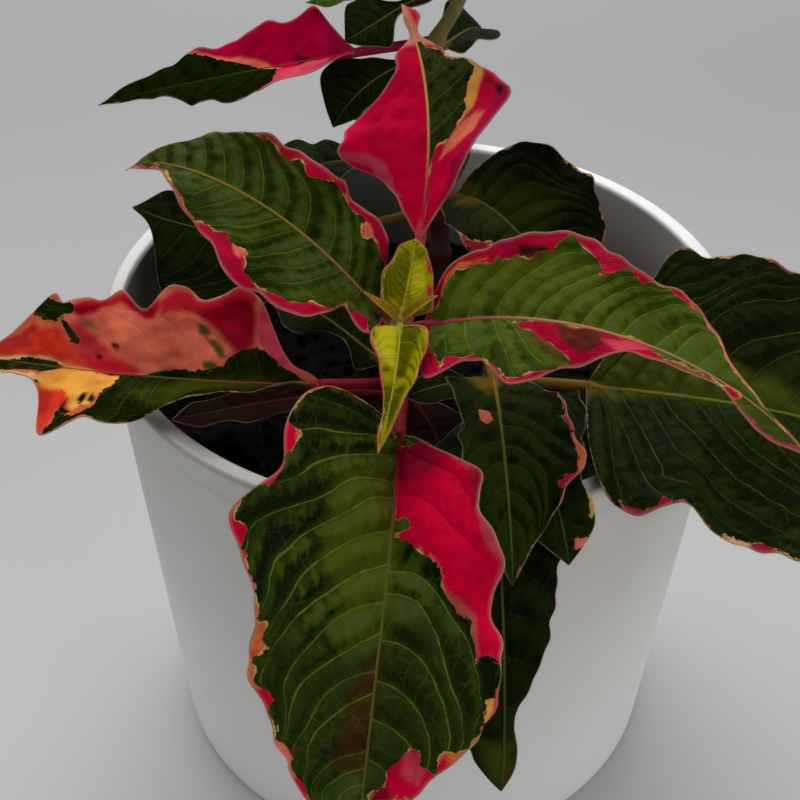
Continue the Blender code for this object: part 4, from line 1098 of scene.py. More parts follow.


# Markings on the blades. Outlines were traced on the photo and are given in its pixels,
# as x,y from the top left corner: pink and green outlines, paint for the pink as (colour, softness
# in mm, outline), and wash for the green with its strength. Bands along a margin are (share, mm).
leafMarks = {
    "front": dict(
        bandRight=((0, 0), (0.4, 0.3), (0.9, 0.5), (1, 0.5)),
        bandLeft=((0, 0), (0.55, 0), (0.6, 0.3), (1, 0.4)),
        pink=(
            "396,436 395,516 401,519 405,519 412,527 396,537 408,541 420,548 432,558 440,570 443,585 "
            "449,598 460,611 470,619 478,661 490,656 500,664 520,668 535,560 515,450 440,420 400,415",
            "262,412 298,433 299,437 292,443 287,452 284,462 284,470 278,477 252,489 240,498 233,508 "
            "229,518 238,523 243,530 243,545 247,556 230,562 205,530 205,500 255,455 262,435",
            "238,604 257,612 258,622 267,624 262,632 262,640 266,645 248,658 235,650",
            "238,662 254,664 256,672 253,680 258,686 270,692 273,700 264,722 242,715",
            "258,738 282,742 290,752 293,768 300,776 307,790 309,802 265,802",
            "486,703 494,699 506,700 498,716 489,728 485,718",
            "494,738 476,733 470,741 470,750 458,754 446,752 440,762 437,780 441,792 470,785 500,745",
            "388,770 400,762 407,750 413,744 420,752 422,765 443,788 430,802 368,802 375,792 386,785",
        ),
        paint=(
            ("lightPink", 1,
             "440,430 484,464 505,470 520,560 510,640 490,600 500,562 488,545 478,512 474,472 440,447"),
            ("salmon", 0.6,
             "430,552 440,570 443,585 449,598 460,611 470,619 474,640 468,638 455,618 440,600"),
            ("palePink", 0.8, "448,590 462,602 476,618 480,655 455,615"),
            ("orange", 0.7, "236,600 266,610 268,650 236,655"),
            ("salmon", 0.7, "236,660 258,664 260,690 240,690"),
            ("salmon", 0.8, "262,738 285,742 300,775 290,790 275,770"),
            ("amber", 0.5, "482,698 494,696 494,712 484,724"),
            ("orange", 0.9, "442,752 480,734 490,745 450,785"),
            ("lightPink", 0.9, "405,752 420,752 425,775 418,785 402,775"),
            ("darkRed", 0.8, "372,785 388,783 392,802 372,802"),
            ("crimson", 3.5, "394,430 432,440 446,462 424,482 396,484"),
            ("crimson", 1.5, "470,470 484,468 482,500 474,505"),
        ),
        wash=(
            ("lime", 5, 0.55, "335,470 392,455 398,520 392,600 350,612 318,560"),
            # painted shade: the black and shade washes darken the hollows of the left lobes and the lower
            # half of the blade
            ("black", 3, 0.85, "296,400 340,392 370,405 378,430 330,438 300,430"),
            ("black", 2.5, 0.85, "228,510 300,478 330,475 250,545"),
            ("black", 3, 0.7, "255,590 290,575 300,620 262,640"),
            ("black", 3, 0.6, "390,720 470,700 470,760 400,790"),
            ("shade", 6, 0.92, "390,640 440,600 480,680 472,755 405,795 366,795"),
            ("shade", 6, 0.88, "380,650 372,740 330,802 300,785 258,700 256,600 300,640 345,655"),
            ("maroon", 2.5, 0.9, "385,640 381,690 366,780 330,765 340,735 345,705 352,680 370,655"),
        )
    ),
    "right": dict(
        bandLeft=((0, 0.5), (1, 0.5)),
        bandRight=((0, 0.5), (1, 0.5)),
        pink=(
            "441,305 443,290 448,277 455,268 468,267 480,264 493,264 497,257 502,255 505,258 512,258 "
            "518,254 525,257 530,257 540,252 550,252 562,240 575,238 580,250 590,252 600,257 604,262 "
            "600,274 606,276 615,274 628,274 633,277 637,284 672,287 681,302 696,311 745,379 800,438 "
            "815,450 830,440 750,350 710,290 640,250 560,215 500,225 440,250 428,280 430,310",
            "425,310 433,320 429,335 431,350 441,370 449,356 460,358 474,353 495,367 504,376 515,377 "
            "550,371 570,371 582,364 600,357 640,348 720,384 738,394 742,404 700,390 640,376 600,380 "
            "500,405 470,380 438,400 405,365 408,320",
            "512,322 530,322 625,338 640,341 654,350 640,356 610,358 590,366 576,366 552,345 530,332 "
            "520,328",
        ),
        paint=(
            ("crimson", 0.8,
             "430,310 440,270 470,250 520,228 560,232 600,245 640,262 640,280 560,244 510,245 470,262 "
             "445,290"),
            ("magenta", 0.8, "500,240 515,236 512,258 503,256"),
            ("maroon", 0.8, "517,246 545,246 548,254 520,260"),
            ("orange", 0.5, "441,305 448,277 455,268 480,263 490,258 460,262 446,275"),
            ("russet", 1, "556,324 598,331 605,342 590,352 572,350 560,340"),
            ("lightPink", 0.6, "600,340 640,342 652,350 620,352"),
            ("salmon", 0.6, "690,306 740,380 728,372 700,330"),
            ("amber", 0.5, "745,372 830,440 830,462 800,446 748,388"),
        ),
        wash=(
            ("lime", 5, 0.8, "445,290 480,264 560,252 600,270 600,318 445,312"),
            ("maroon", 1.5, 0.6, "520,245 545,244 545,262 520,262"),
            ("shade", 6, 0.5, "600,270 680,300 720,360 640,330"),
            ("shade", 1.5, 0.9, "700,372 740,386 790,432 800,455 760,430 720,396"),
            ("russet", 1, 0.8, "575,352 520,330 535,348 560,362"),
        )
    ),
    "upper_left": dict(
        bandRight=((0, 0.5), (0.55, 0.4), (0.62, 0.35), (0.7, 0.15), (1, 0.2)),
        bandLeft=((0, 0.5), (0.6, 0.5), (0.7, 0.6), (1, 0.4)),
        pink=(
            "240,126 262,136 276,146 286,157 299,159 309,177 322,178 339,188 346,197 348,207 353,213 "
            "359,214 362,222 363,236 372,238 377,244 379,254 384,266 402,265 410,240 380,200 355,170 "
            "320,148 280,128 245,118",
            "188,216 206,223 215,232 225,234 233,247 244,252 246,257 242,265 241,272 250,278 256,288 "
            "266,293 280,296 290,304 340,311 358,312 367,318 374,348 350,350 300,338 272,328 212,278 "
            "190,240",
        ),
        paint=(
            ("darkRed", 0.7, "245,124 285,140 300,157 280,160 255,142"),
            ("salmon", 0.5, "362,222 363,238 374,242 372,230 368,222"),
            ("salmon", 0.4, "229,241 246,252 246,260 236,256"),
            ("lightPink", 0.5, "376,212 394,235 392,256 384,236"),
        ),
        wash=(
            ("maroon", 2, 0.55, "270,150 298,152 296,170 274,168"),
            ("lime", 5, 0.45, "330,290 372,305 340,312 300,300 290,290"),
            ("shade", 6, 0.35, "220,140 262,138 300,200 260,190 215,165"),
        )
    ),
    "upright": dict(
        bandLeft=((0, 99), (1, 99)),
        bandRight=((0, 1), (0.6, 0.4), (1, 0.4)),
        pink=(
            "380,-30 425,-30 432,30 440,50 425,47 421,42 400,50 385,30",
            "478,52 472,78 467,90 466,100 469,110 450,141 440,147 432,158 428,180 428,250 540,250 540,30 "
            "480,30",
        ),
        paint=(
            ("amber", 0.8, "460,56 476,54 483,72 478,92 472,108 466,116 460,110 463,90 469,74"),
            ("salmon", 1, "478,112 466,120 446,146 440,160 456,148 474,130 484,112"),
            ("magenta", 1, "500,85 520,90 470,200 440,215 450,170 480,125"),
            ("lightPink", 1,
             "336,152 370,154 385,162 393,178 396,192 404,196 392,198 380,185 372,168 352,160 338,160"),
            ("salmonLight", 1.2, "385,-20 412,-10 425,30 440,48 420,44 400,46 390,20"),
            ("darkRed", 0.6, "484,76 494,75 496,84 486,86"),
            ("maroon", 0.5, "496,84 503,85 502,94 497,93"),
        ),
        wash=(
            ("shade", 4, 0.3, "420,110 465,110 440,150 430,160"),
        )
    ),
    "left": dict(
        bandRight=((0, 99), (1, 99)),
        bandLeft=((0, 0), (0.5, 0), (0.6, 0.3), (1, 0.4)),
        pink=(
            "121.5,374.5 113,384 102,391.5 87,408 71.5,415 57,413.5 43.5,435 13,413.5 -4.5,378.5 "
            "-4.5,368 32.5,370 65,363.5 95.5,372",
        ),
        green=(
            "345,395 320,384 300,378 280,366 266,352 255,347 243,350 232,357 222,366 205,372 185,370 "
            "165,371 125,378 120,400 317,388",
            "32.5,296 52,296 75,307.5 72,313 57,321.5 35,314.5",
            "-4.5,361.5 28.5,357.5 43.5,358.5 55.5,361.5 62,365.5 54.5,370.5 41.5,373 -4.5,374.5",
            "62.5,320.5 65.5,319.5 69,321.5 71.5,328.5 80.5,340.5 78,343.5 73,341.5 67,335 63.5,327.5",
            "31.5,378.5 36,378.5 41.5,383 43,388.5 39.5,387",
        ),
        paint=(
            ("salmon", 2, "65,300.5 271.5,291.5 271.5,374.5 65,374.5"),
            ("scarlet", 0.9,
             "74,305 130.5,296 161,300 162.5,306 153.5,318.5 146,318.5 139,311.5 121.5,306 102,308.5 "
             "91.5,315 79.5,315.5 73,312.5"),
            ("darkRed", 1.6, "75,306.5 91.5,302.5 102,304.5 95.5,311.5 82.5,315 74,312.5"),
            ("darkRed", 1.4, "121.5,299.5 141.5,299.5 156.5,307 152,316.5 143.5,314.5"),
            ("scarlet", 1.2,
             "163,300.5 174,294 191.5,289.5 217.5,294 256.5,289.5 256.5,302.5 239,309 208.5,311.5 "
             "187,311.5 169.5,313.5 161,316.5"),
            ("darkRed", 2.2,
             "196.5,311.5 208.5,306 254.5,300.5 258.5,322 254.5,341.5 248,349.5 237,353.5 214,330 "
             "202,320"),
            ("crimson", 1.6, "221.5,320 243.5,322 256.5,339.5 250,348.5 239,351 228.5,341.5"),
            ("salmonLight", 1, "191.5,290 217.5,295.5 230.5,294.5 217.5,299.5 202,301 195.5,298.5"),
            ("rose", 2.2,
             "65,324.5 82.5,322 95.5,337.5 113,352.5 135,365.5 139,372 130.5,376.5 104.5,375.5 87,368 "
             "76,357 69.5,344"),
            ("scarlet", 1.8, "82.5,352.5 121.5,361.5 137,369 130.5,375.5 108.5,375.5 91.5,368"),
            ("red", 1.6, "-4.5,338.5 19.5,335 37,322 43.5,324.5 28.5,341.5 13,346 -4.5,348.5"),
            ("vermilion", 1.6, "-4.5,346 13,345 35,333 56.5,323.5 87,368 52,358 26,356 -4.5,357"),
            ("orange", 1.2, "37,320.5 43.5,318.5 57,322.5 55.5,327 43.5,328.5 37.5,325.5"),
            ("red", 1.2, "-20,332 28,336 34,346 -20,350"),
            ("orange", 1.4, "38,376 78,380 82,392 62,402 42,396"),
            ("cream", 0.5, "-4.5,357 26,356 50,357.5 65,363.5 65,367 50,360 26,358.5 -4.5,360"),
            ("cream", 0.6, "-4.5,372 24,373.5 32.5,372 37,376.5 30.5,378.5 -4.5,376.5"),
            ("amber", 1.2,
             "30.5,377.5 43.5,371.5 63,365.5 87,368.5 104.5,375 123,377 113,386.5 95.5,397 91.5,402.5 "
             "71.5,411.5 65,400.5 54.5,393 44.5,389 36,380"),
            ("black", 0.35, "57,415 61,405 66.5,398 73.5,395.5 64.5,409 71.5,411 65,415"),
            ("black", 0.3, "76.5,401.5 83.5,394.5 88,393 81,406.5"),
            ("black", 0.3, "87,398.5 95,393 93.5,399.5 88.5,403.5"),
            ("vermilion", 1.2, "35,383 44.5,388.5 65,391.5 69,400 57,411.5 48.5,423.5 41.5,437.5 36,422"),
            ("red", 1, "36,387.5 54.5,391.5 43.5,420 37,413.5"),
            ("lightPink", 0.9,
             "256.5,328.5 260,311.5 266.5,298.5 269.5,313.5 280.5,344 291.5,365.5 313,374.5 291.5,373.5 "
             "274,361.5 261,346"),
            ("olive", 0.5, "196.5,326 202,323.5 209,329 211.5,335.5 205,338 198.5,333"),
            ("olive", 0.5, "205.5,338 217.5,340.5 224,350 224.5,359 218,357.5"),
            ("olive", 0.5, "204,363 210,361 217.5,365.5 219,372 208.5,370.5 202,367"),
            ("ochre", 1.4, "79.5,321.5 89,319 99,328.5 95.5,332 82.5,327"),
            ("black", 0.4, "110,343.5 115,342 120,346 118.5,349.5 113,348"),
            ("black", 0.5, "95.5,355 100,353.5 103.5,357.5 100.5,360.5 96.5,359"),
        ),
        wash=(
            ("lime", 3, 0.4, "130.5,391.5 195.5,378.5 250,374.5 282.5,378.5 174,402.5 141.5,405"),
            ("black", 2.5, 0.5, "213,365.5 239,352.5 256.5,357 261,372 217.5,374.5"),
        )
    ),
    "lower_right": dict(
        bandLeft=((0, 0.12), (1, 0.12)),
        bandRight=((0, 0.1), (1, 0.15)),
        pink=(
            "618,500 630,507 645,510 655,508 662,500 672,500 664,520 620,522",
            "724,538 735,541 745,546 762,543 790,556 788,566 728,558",
        ),
        paint=(
            ("cream", 0.8, "725,536 750,538 750,550 725,550"),
            ("darkRed", 0.8, "650,495 675,495 670,512 652,512"),
        ),
        wash=(
            ("lime", 4, 0.85,
             "585,374 600,352 660,345 720,362 800,395 800,412 720,402 650,396 612,402 590,392"),
            ("amberWash", 3, 0.7, "530,374 580,378 600,388 560,396 530,392"),
            # painted shade where the right leaf hangs over the far part of the blade
            ("black", 6, 0.5, "660,260 800,250 800,330 700,330"),
        )
    ),
    "front_right": dict(
        bandLeft=((0, 0.12), (0.35, 0.4), (0.6, 0.5), (0.7, 0.1), (1, 0.1)),
        bandRight=((0, -1), (1, -1)),
        pink=(
            "479,412 484,411 490,413 492,421 486,425 481,421",
            "562,414 580,420 592,440 588,466 580,466 579,440",
            "557,478 575,475 585,478 572,494 560,488",
        ),
        paint=(
            ("salmon", 0.6, "476,408 496,408 496,428 476,428"),
            ("orange", 0.8, "574,432 596,438 590,470 576,470"),
        ),
        wash=(
            ("amberWash", 3, 0.8, "468,372 502,370 500,384 486,394 474,388"),
            ("shade", 4, 0.6, "455,400 480,400 485,560 455,480"),
        )
    ),
    "hanging": dict(
        bandLeft=((0, -1), (1, -1)),
        bandRight=((0, -1), (1, -1)),
        wash=(
            ("lime", 4, 0.5, "480,740 520,740 515,790 490,780"),
            ("russet", 3, 0.5, "500,768 520,765 518,792 505,790"),
        )
    ),
    "corner": dict(
        bandLeft=((0, -1), (1, -1)),
        pink=(
            "582,478 600,476 602,505 592,518 588,495",
            "573,538 588,535 590,545 576,550",
        ),
        paint=(
            ("amber", 0.8, "575,470 605,470 605,520 575,520"),
            ("salmon", 0.8, "570,530 592,530 592,552 570,552"),
        )
    ),
    "top_left": dict(
        bandLeft=((0, 99), (1, 99)),
        bandRight=((0, 99), (1, 99)),
        green=(
            "96,112 112,85 178,52 186,57 215,59 235,64 255,66 268,69 278,68 276,76 270,84 240,100 "
            "236,110 215,108 200,110 180,105 150,103 120,104",
        ),
        paint=(
            ("salmon", 1.2, "185,54 240,58 268,64 282,70 262,70 205,61"),
            ("magenta", 2, "320,32 335,28 400,52 370,58 335,58 318,52"),
            ("maroon", 1.2, "296,56 318,58 322,64 298,66"),
            ("lightPink", 1, "262,80 300,66 330,58 330,70 270,96"),
        )
    ),
    "young_back": dict(
        bandLeft=((0, 0.35), (0.3, 0.25), (0.6, 0.3), (1, 0.3)),
        bandRight=((0, 0.5), (0.3, 0.35), (0.6, 0.4), (1, 0.3)),
        pink=(
            "433.5,256.5 424,259.5 428.5,273.5 435,276.5 438.5,256.5",
            "435,283.5 426.5,285 429,290 426.5,294 435,296.5",
        ),
        paint=(
            ("crimson", 0.5, "426.5,261.5 435,261.5 435,273.5 428.5,271.5"),
            ("crimson", 0.4, "427.5,286.5 435,286 435,293.5 428.5,292.5"),
            ("amber", 0.5, "421.5,258.5 428.5,263.5 426.5,270 423.5,263.5"),
        ),
        wash=(
            ("leafGreen", 1.2, 0.8,
             "386.5,255 408.5,248.5 411,263.5 408.5,280 403.5,296.5 381.5,300 380,280"),
            ("lemon", 1, 0.7, "413.5,260 425,263.5 426.5,283.5 425,296.5 411.5,300 410,285"),
            ("leafGreen", 1, 0.5, "415,245 426.5,250 425,260 415,258.5"),
            ("russet", 0.8, 0.6, "400,290 406.5,286.5 406.5,303.5 400,303.5"),
        )
    ),
    "young_front": dict(
        bandLeft=((0, 0.6), (0.12, 0.5), (0.25, 0.3), (0.35, 0.2), (0.5, 0.2), (1, 0.2)),
        bandRight=((0, 0.6), (0.15, 0.45), (0.3, 0.3), (0.4, 0.6), (0.55, 0.5), (0.7, 0.25), (1, 0.2)),
        paint=(
            ("lightPink", 0.5, "365,343.5 371.5,323.5 378.5,310 381.5,313.5 375,330 373.5,346.5"),
            ("crimson", 0.4, "411.5,345 421.5,338.5 418.5,363.5 412.5,361.5"),
        ),
        wash=(
            ("lemon", 1.5, 0.85, "376.5,313.5 398.5,323.5 393.5,371.5 380,356.5 376.5,343.5"),
            ("leafGreen", 0.7, 0.95, "399,326.5 425,318.5 421.5,333.5 405,376.5 396,380 396.5,346.5"),
            ("leafGreen", 0.6, 0.95, "380,386.5 394,385 381.5,430 373.5,451.5 365,451.5 380,413.5"),
            ("leafGreen", 0.6, 0.95, "395,390 408.5,383.5 386.5,433.5 388.5,410"),
        )
    ),
    "back_right": dict(
        bandLeft=((0, 0.05), (1, 0.05)),
        pink=(
            "450,236 472,243 492,244 488,252 458,246",
        ),
        wash=(
            ("amberWash", 4, 0.6, "448,180 478,188 476,206 456,206"),
            ("lime", 8, 0.35, "470,190 560,200 540,230 480,225"),
        )
    ),
}


paints = {
    "lightPink": (0.66, 0.06, 0.10), "palePink": (0.55, 0.12, 0.08), "salmon": (0.88, 0.19, 0.10),
    "orange": (0.70, 0.16, 0.04), "amber": (0.90, 0.42, 0.06), "cream": (0.80, 0.52, 0.22),
    "vermilion": (0.70, 0.04, 0.018), "red": (0.46, 0.025, 0.02),
    "darkRed": (0.30, 0.003, 0.014), "crimson": (0.40, 0.004, 0.03), "magenta": (0.44, 0.003, 0.05),
    "maroon": (0.045, 0.008, 0.004), "russet": (0.12, 0.02, 0.01), "olive": (0.10, 0.09, 0.02),
    "black": (0.005, 0.009, 0.002), "shade": (0.012, 0.02, 0.003), "lime": (0.11, 0.13, 0.008),
    "amberWash": (0.28, 0.16, 0.01), "leafGreen": (0.038, 0.052, 0.001), "rose": (0.64, 0.04, 0.05),
    "salmonLight": (0.75, 0.26, 0.17), "ochre": (0.35, 0.16, 0.06), "lemon": (0.66, 0.58, 0.02),
    "scarlet": (0.70, 0.02, 0.035),
}


def leafLine(leaf, distance):
    # place, sideways, upward directions at distances along the middle line
    length = leaf["petiole"] + leaf["length"]
    t = np.linspace(0, 1, leafForm["lineSteps"] + 1)
    base, middle, tip = leaf["pitch"]
    pitch = np.radians(base * (1 - t) * (1 - 2 * t) + middle * 4 * t * (1 - t) + tip * t * (2 * t - 1))
    heading = np.radians(leaf["heading"] + leaf["turn"] * t)
    step = np.stack([np.cos(pitch) * np.cos(heading), np.cos(pitch) * np.sin(heading), np.sin(pitch)], 1)
    moves = (step[1:] + step[:-1]) * length / (2 * leafForm["lineSteps"])
    line = stemAt(leaf["stem"], leaf["height"]) + np.vstack([np.zeros(3), np.cumsum(moves, 0)])
    place = np.stack([np.interp(distance, t * length, line[:, k]) for k in range(3)], 1)
    h = np.interp(distance, t * length, heading)
    p = np.interp(distance, t * length, pitch)
    forward = np.stack([np.cos(p) * np.cos(h), np.cos(p) * np.sin(h), np.sin(p)], 1)
    side = np.stack([np.sin(h), -np.cos(h), 0 * h], 1)
    up = np.cross(side, forward)
    easing = np.clip(distance / leaf["petiole"], 0, 1) ** 2
    share = np.clip((distance - leaf["petiole"]) / leaf["length"], 0, 1)
    roll = np.radians(leaf["roll"][0] * easing + (leaf["roll"][1] - leaf["roll"][0]) * share)[:, None]
    return place, side * np.cos(roll) + up * np.sin(roll), up * np.cos(roll) - side * np.sin(roll)


def cameraTurn():
    return mathutils.Euler([math.radians(v) for v in view["turn"]])


def bladeInPhoto(leaf):
    # photo pixel and distance from the camera of points all over a blade
    share = np.linspace(0, 1, traceForm["rows"] + 1)
    out = np.linspace(-1, 1, traceForm["columns"] + 1)
    grid = bladeGrid(leaf, share, out, 0)[0]
    seen = (grid - np.array(view["place"])) @ np.array(cameraTurn().to_matrix())
    away = -seen[..., 2]
    scale = view["lens"] / view["sensor"] * view["pixels"] / away
    middle = view["pixels"] / 2
    return share, out, middle + seen[..., 0] * scale, middle - seen[..., 1] * scale, away


def traced(leaf, text):
    # photo pixels "x,y x,y" as (share along, share across); past the margin the share passes 1
    share, out, x, y, away = bladeInPhoto(leaf)
    nearer = traceForm["nearer"] * (away - away.min())
    spots = []
    for pair in text.split():
        px, py = (float(v) for v in pair.split(","))
        off = np.hypot(x - px, y - py)
        row, column = np.unravel_index(np.argmin(off + nearer), off.shape)
        beyond = 1.0
        if off[row, column] > 2 and abs(out[column]) == 1:
            beyond += traceForm["beyond"] * off[row, column]
        spots.append((share[row], out[column] * beyond))
    return spots


def outlineDistance(points, outline):
    # distance in mm to the edge of an outline, positive inside it
    corners = np.array(outline, float)
    after = np.roll(corners, -1, 0)
    nearest = np.full(len(points), 99.0)
    inside = np.zeros(len(points), bool)
    for a, b in zip(corners, after):
        run = b - a
        share = np.clip(((points - a) @ run) / max(run @ run, 1e-9), 0, 1)
        nearest = np.minimum(nearest, np.linalg.norm(points - a - share[:, None] * run, axis=1))
        crosses = (a[1] > points[:, 1]) != (b[1] > points[:, 1])
        with np.errstate(divide="ignore", invalid="ignore"):
            cut = a[0] + (points[:, 1] - a[1]) * run[0] / run[1]
        inside ^= crosses & (points[:, 0] < cut)
    return np.where(inside, nearest, -nearest)


def markDistance(leaf, outlines, along, across):
    # distance in mm inside the traced outlines, measured flat on the blade
    best = np.full(along.size, -9.0)
    points = np.stack([along.ravel(), across.ravel()], 1)
    for outline in outlines:
        share, out = np.array(traced(leaf, outline)).T
        width = np.where(out < 0, *bladeWidths(leaf, share))
        spots = np.stack([share * leaf["length"], out * width], 1)
        best = np.maximum(best, outlineDistance(points, spots))
    return best.reshape(along.shape)


def softMark(leaf, outline, soft, along, across):
    inside = np.clip(markDistance(leaf, (outline,), along, across) / soft + 0.5, 0, 1)
    return inside * inside * (3 - 2 * inside)


def bladeWidths(leaf, share):
    stalk = leaf.get("stalk", leafForm["stalk"])
    return [np.maximum(smoothCurve((stalk, *leaf[key], leafForm["tip"]), share), 0.1)
            for key in ("left", "right")]


def veinRows(leaf, side, traces):
    # for each traced vein: its strength, then the share it reaches at even steps from the midrib
    steps = np.linspace(0, 1, veinForm["steps"])
    rows = []
    for show, text in traces:
        along, out = np.array(traced(leaf, text)).T
        out = np.maximum(out * (-1 if side == "left" else 1), 0)
        keep = [0]
        for i in range(1, len(out)):
            if out[i] > out[keep[-1]] + 0.01:
                keep.append(i)
        along, out = along[keep], out[keep]
        if len(out) < 2:
            continue
        if out[0] < veinForm["foot"]:
            out[0] = 0
        first = (along[1] - along[0]) / max(out[1] - out[0], 0.05)
        last = (along[-1] - along[-2]) / max(out[-1] - out[-2], 0.05)
        last = min(max(last, veinForm["leastLean"]), veinForm["mostLean"])
        reach = np.interp(steps, out, along)
        reach = np.where(steps < out[0], along[0] + first * (steps - out[0]), reach)
        reach = np.where(steps > out[-1], along[-1] + last * (steps - out[-1]), reach)
        rows.append((show, reach))
    rows.sort(key=lambda row: row[1][0])
    reached = np.array([row[1] for row in rows])
    reached[:, 0] = np.maximum.accumulate(reached[:, 0])
    for i in range(1, len(reached)):
        reached[i] = np.maximum(reached[i], reached[i - 1] + veinForm["apart"])
    reached = np.maximum.accumulate(reached, axis=1)
    return [(row[0], *reach) for row, reach in zip(rows, reached)]


def drawnPhase(lines, share, x):
    # whole numbers lie on the drawn veins, which keep their order all the way out
    reached = [smoothCurve(row[1:], x) for row in lines]
    first = np.maximum(reached[1] - reached[0], veinForm["firstApart"])
    last = np.maximum(reached[-1] - reached[-2], veinForm["lastApart"])
    more = veinForm["more"]
    reached = [*(reached[0] - k * first for k in range(more, 0, -1)), *reached,
               *(reached[-1] + k * last for k in range(1, more + 1))]
    show = [*([veinForm["firstShow"]] * more), *(row[0] for row in lines), *([veinForm["lastShow"]] * more)]
    phase = np.full(share.shape, 0.5)
    for k in range(len(reached) - 1):
        step = np.maximum(reached[k + 1] - reached[k], 0.005)
        inside = (share >= reached[k]) & (share < reached[k] + step)
        phase = np.where(inside, k + (share - reached[k]) / step, phase)
    weight = np.array(show)[np.clip(np.round(phase).astype(int), 0, len(show) - 1)]
    return phase, weight


def phaseSpacing(phase, along, signed):
    # mm from one vein to the next, from how fast the phase changes along and across the blade
    slopes = []
    for axis, place in enumerate((along, signed)):
        step = np.gradient(place, axis=axis)
        slopes.append(np.gradient(phase, axis=axis) / np.where(np.abs(step) < 0.02, 0.02, step))
    return np.clip(1 / np.maximum(np.hypot(*slopes), 0.01), 1.5, 14)


def plainPhase(leaf, along, across, widest, seed):
    # veins leave the midrib almost square and bend towards the tip
    bendEnd, innerLean, outerLean, bend = 0.8, 0.4, 2.4, 3.0
    x = across / widest
    bent = np.minimum(x, bendEnd)
    lead = widest * (innerLean * bent + bend * bent ** 6 + outerLean * (x - bent))
    slope = np.where(x < bendEnd, innerLean + 6 * bend * bent ** 5, outerLean)
    rng = np.random.default_rng(seed)
    sway = 0.10 * np.sin(along / leaf["length"] * 14 + rng.uniform(0, 6, 1))
    start = (along - lead) / leaf["length"]
    soft = 0.12
    scale = np.where(start < soft, np.exp(np.minimum(start - soft, 0) / soft), 1)
    start = np.where(start < soft, soft * scale, start)
    count = leaf.get("veins", leafForm["veinCount"])
    phase = count * start + sway
    perMm = leaf["length"] / (count * np.maximum(scale, 0.25) * np.sqrt(1 + slope ** 2))
    return phase, perMm, np.full(phase.shape, 0.8)


def veinPhase(name, leaf, blade, seed):
    # phase, spacing in mm and strength of the side veins, drawn or plain on each half
    share, out = np.broadcast_arrays(blade["share"][:, None], blade["out"])
    along, across = blade["along"], blade["across"]
    lines = veinTraces.get(name, {})
    halves = []
    for side, start in (("left", 0.25), ("right", 0.6)):
        if side in lines:
            phase, weight = drawnPhase(veinRows(leaf, side, lines[side]), share, np.abs(out))
            halves.append((phase, phaseSpacing(phase, along, across * np.sign(out) + 1e-9 * out), weight))
        else:
            phase, perMm, weight = plainPhase(leaf, along, across, max(leaf[side]), seed)
            halves.append((phase + start, perMm, weight))
    return [np.where(out < 0, left, right) for left, right in zip(*halves)]


def bladeGrid(leaf, share, out, seed):
    # middle surface, before its relief; rows along share, columns along out
    place, side, up = leafLine(leaf, leaf["petiole"] + share * leaf["length"])
    left, right = bladeWidths(leaf, share)
    rng = np.random.default_rng(seed)
    starts = rng.uniform(0, 2 * math.pi, 6)
    height, count, leftStart, rightStart = leaf["wave"]
    swing = height * np.maximum(np.sin(math.pi * share ** 0.8), 0) ** 0.7
    size = np.array(out)[None, :]
    toLeft = size < 0
    far = np.abs(size)
    width = np.where(toLeft, left[:, None], right[:, None])
    edge = np.sin(math.pi * share)[:, None] ** 0.5
    small = leafForm["ripple"] * edge * far ** 2
    mmAlong = (share * leaf["length"])[:, None]
    wobble = np.where(toLeft, np.sin(mmAlong / 1.45 + starts[0]) + 0.8 * np.sin(mmAlong / 0.83 + starts[1]),
                      np.sin(mmAlong / 1.38 + starts[2]) + 0.8 * np.sin(mmAlong / 0.87 + starts[3]))
    width = width + small * wobble * np.minimum(width / 8, 1)
    folds = np.radians(leaf["fold"])
    fold = np.where(toLeft, (folds[0] + (folds[1] - folds[0]) * share)[:, None],
                    (folds[2] + (folds[3] - folds[2]) * share)[:, None])
    ease = leafForm["foldEase"]
    eased = np.sqrt(far ** 2 + ease ** 2) - ease
    eased = eased / (math.sqrt(1 + ease ** 2) - ease)
    start = np.where(toLeft, leftStart, rightStart)
    wave = swing[:, None] * far ** 1.6 * np.sin(2 * math.pi * (count * share[:, None] + start))
    frill = 0.35 * swing[:, None] / max(height, 0.1) * far ** 3
    frill = frill * np.sin(mmAlong / 1.9 + starts[4] + 2 * size)
    wave = wave + frill * np.minimum(width / 12, 1)
    sideways = np.sign(size) * far * width * np.cos(fold)
    upward = eased * width * np.sin(fold) + wave
    grid = place[:, None] + sideways[..., None] * side[:, None] + upward[..., None] * up[:, None]
    return grid, width, far * width


def gridNormals(grid):
    return unit(np.cross(np.gradient(grid, axis=1), np.gradient(grid, axis=0)))


def bandWidth(band, share):
    if not band:
        return np.full(share.shape, -9.0)
    places, widths = zip(*band)
    return np.interp(share, places, widths)


def readBlade(name, leaf, number):
    # what is worked out for each point of a blade: rows along it, columns from left to right
    share = np.linspace(0, 1, int(leaf["length"] / leafForm["rowSpacing"]) + 1) ** 1.06
    widest = max(*leaf["left"], *leaf["right"])
    even = np.linspace(0, 1, max(int(widest / leafForm["columnSpacing"]), 6) + 1)
    half = even - 0.085 * np.sin(2 * math.pi * even)
    out = np.concatenate([-half[:0:-1], half])
    grid, width, across = bladeGrid(leaf, share, out, 100 + number)
    blade = {"share": share, "out": out, "grid": grid, "width": width, "across": across,
             "along": np.repeat((share * leaf["length"])[:, None], len(out), 1),
             "edgeMm": np.abs(1 - np.abs(out)) * width}
    blade["phase"], blade["phaseMm"], blade["veinPart"] = veinPhase(name, leaf, blade, 200 + number)
    blade["rib"] = leafForm["ribWidth"] * (1 - share[:, None]) ** 0.8 * leaf.get("stalk", 1.1) / 1.1
    return blade


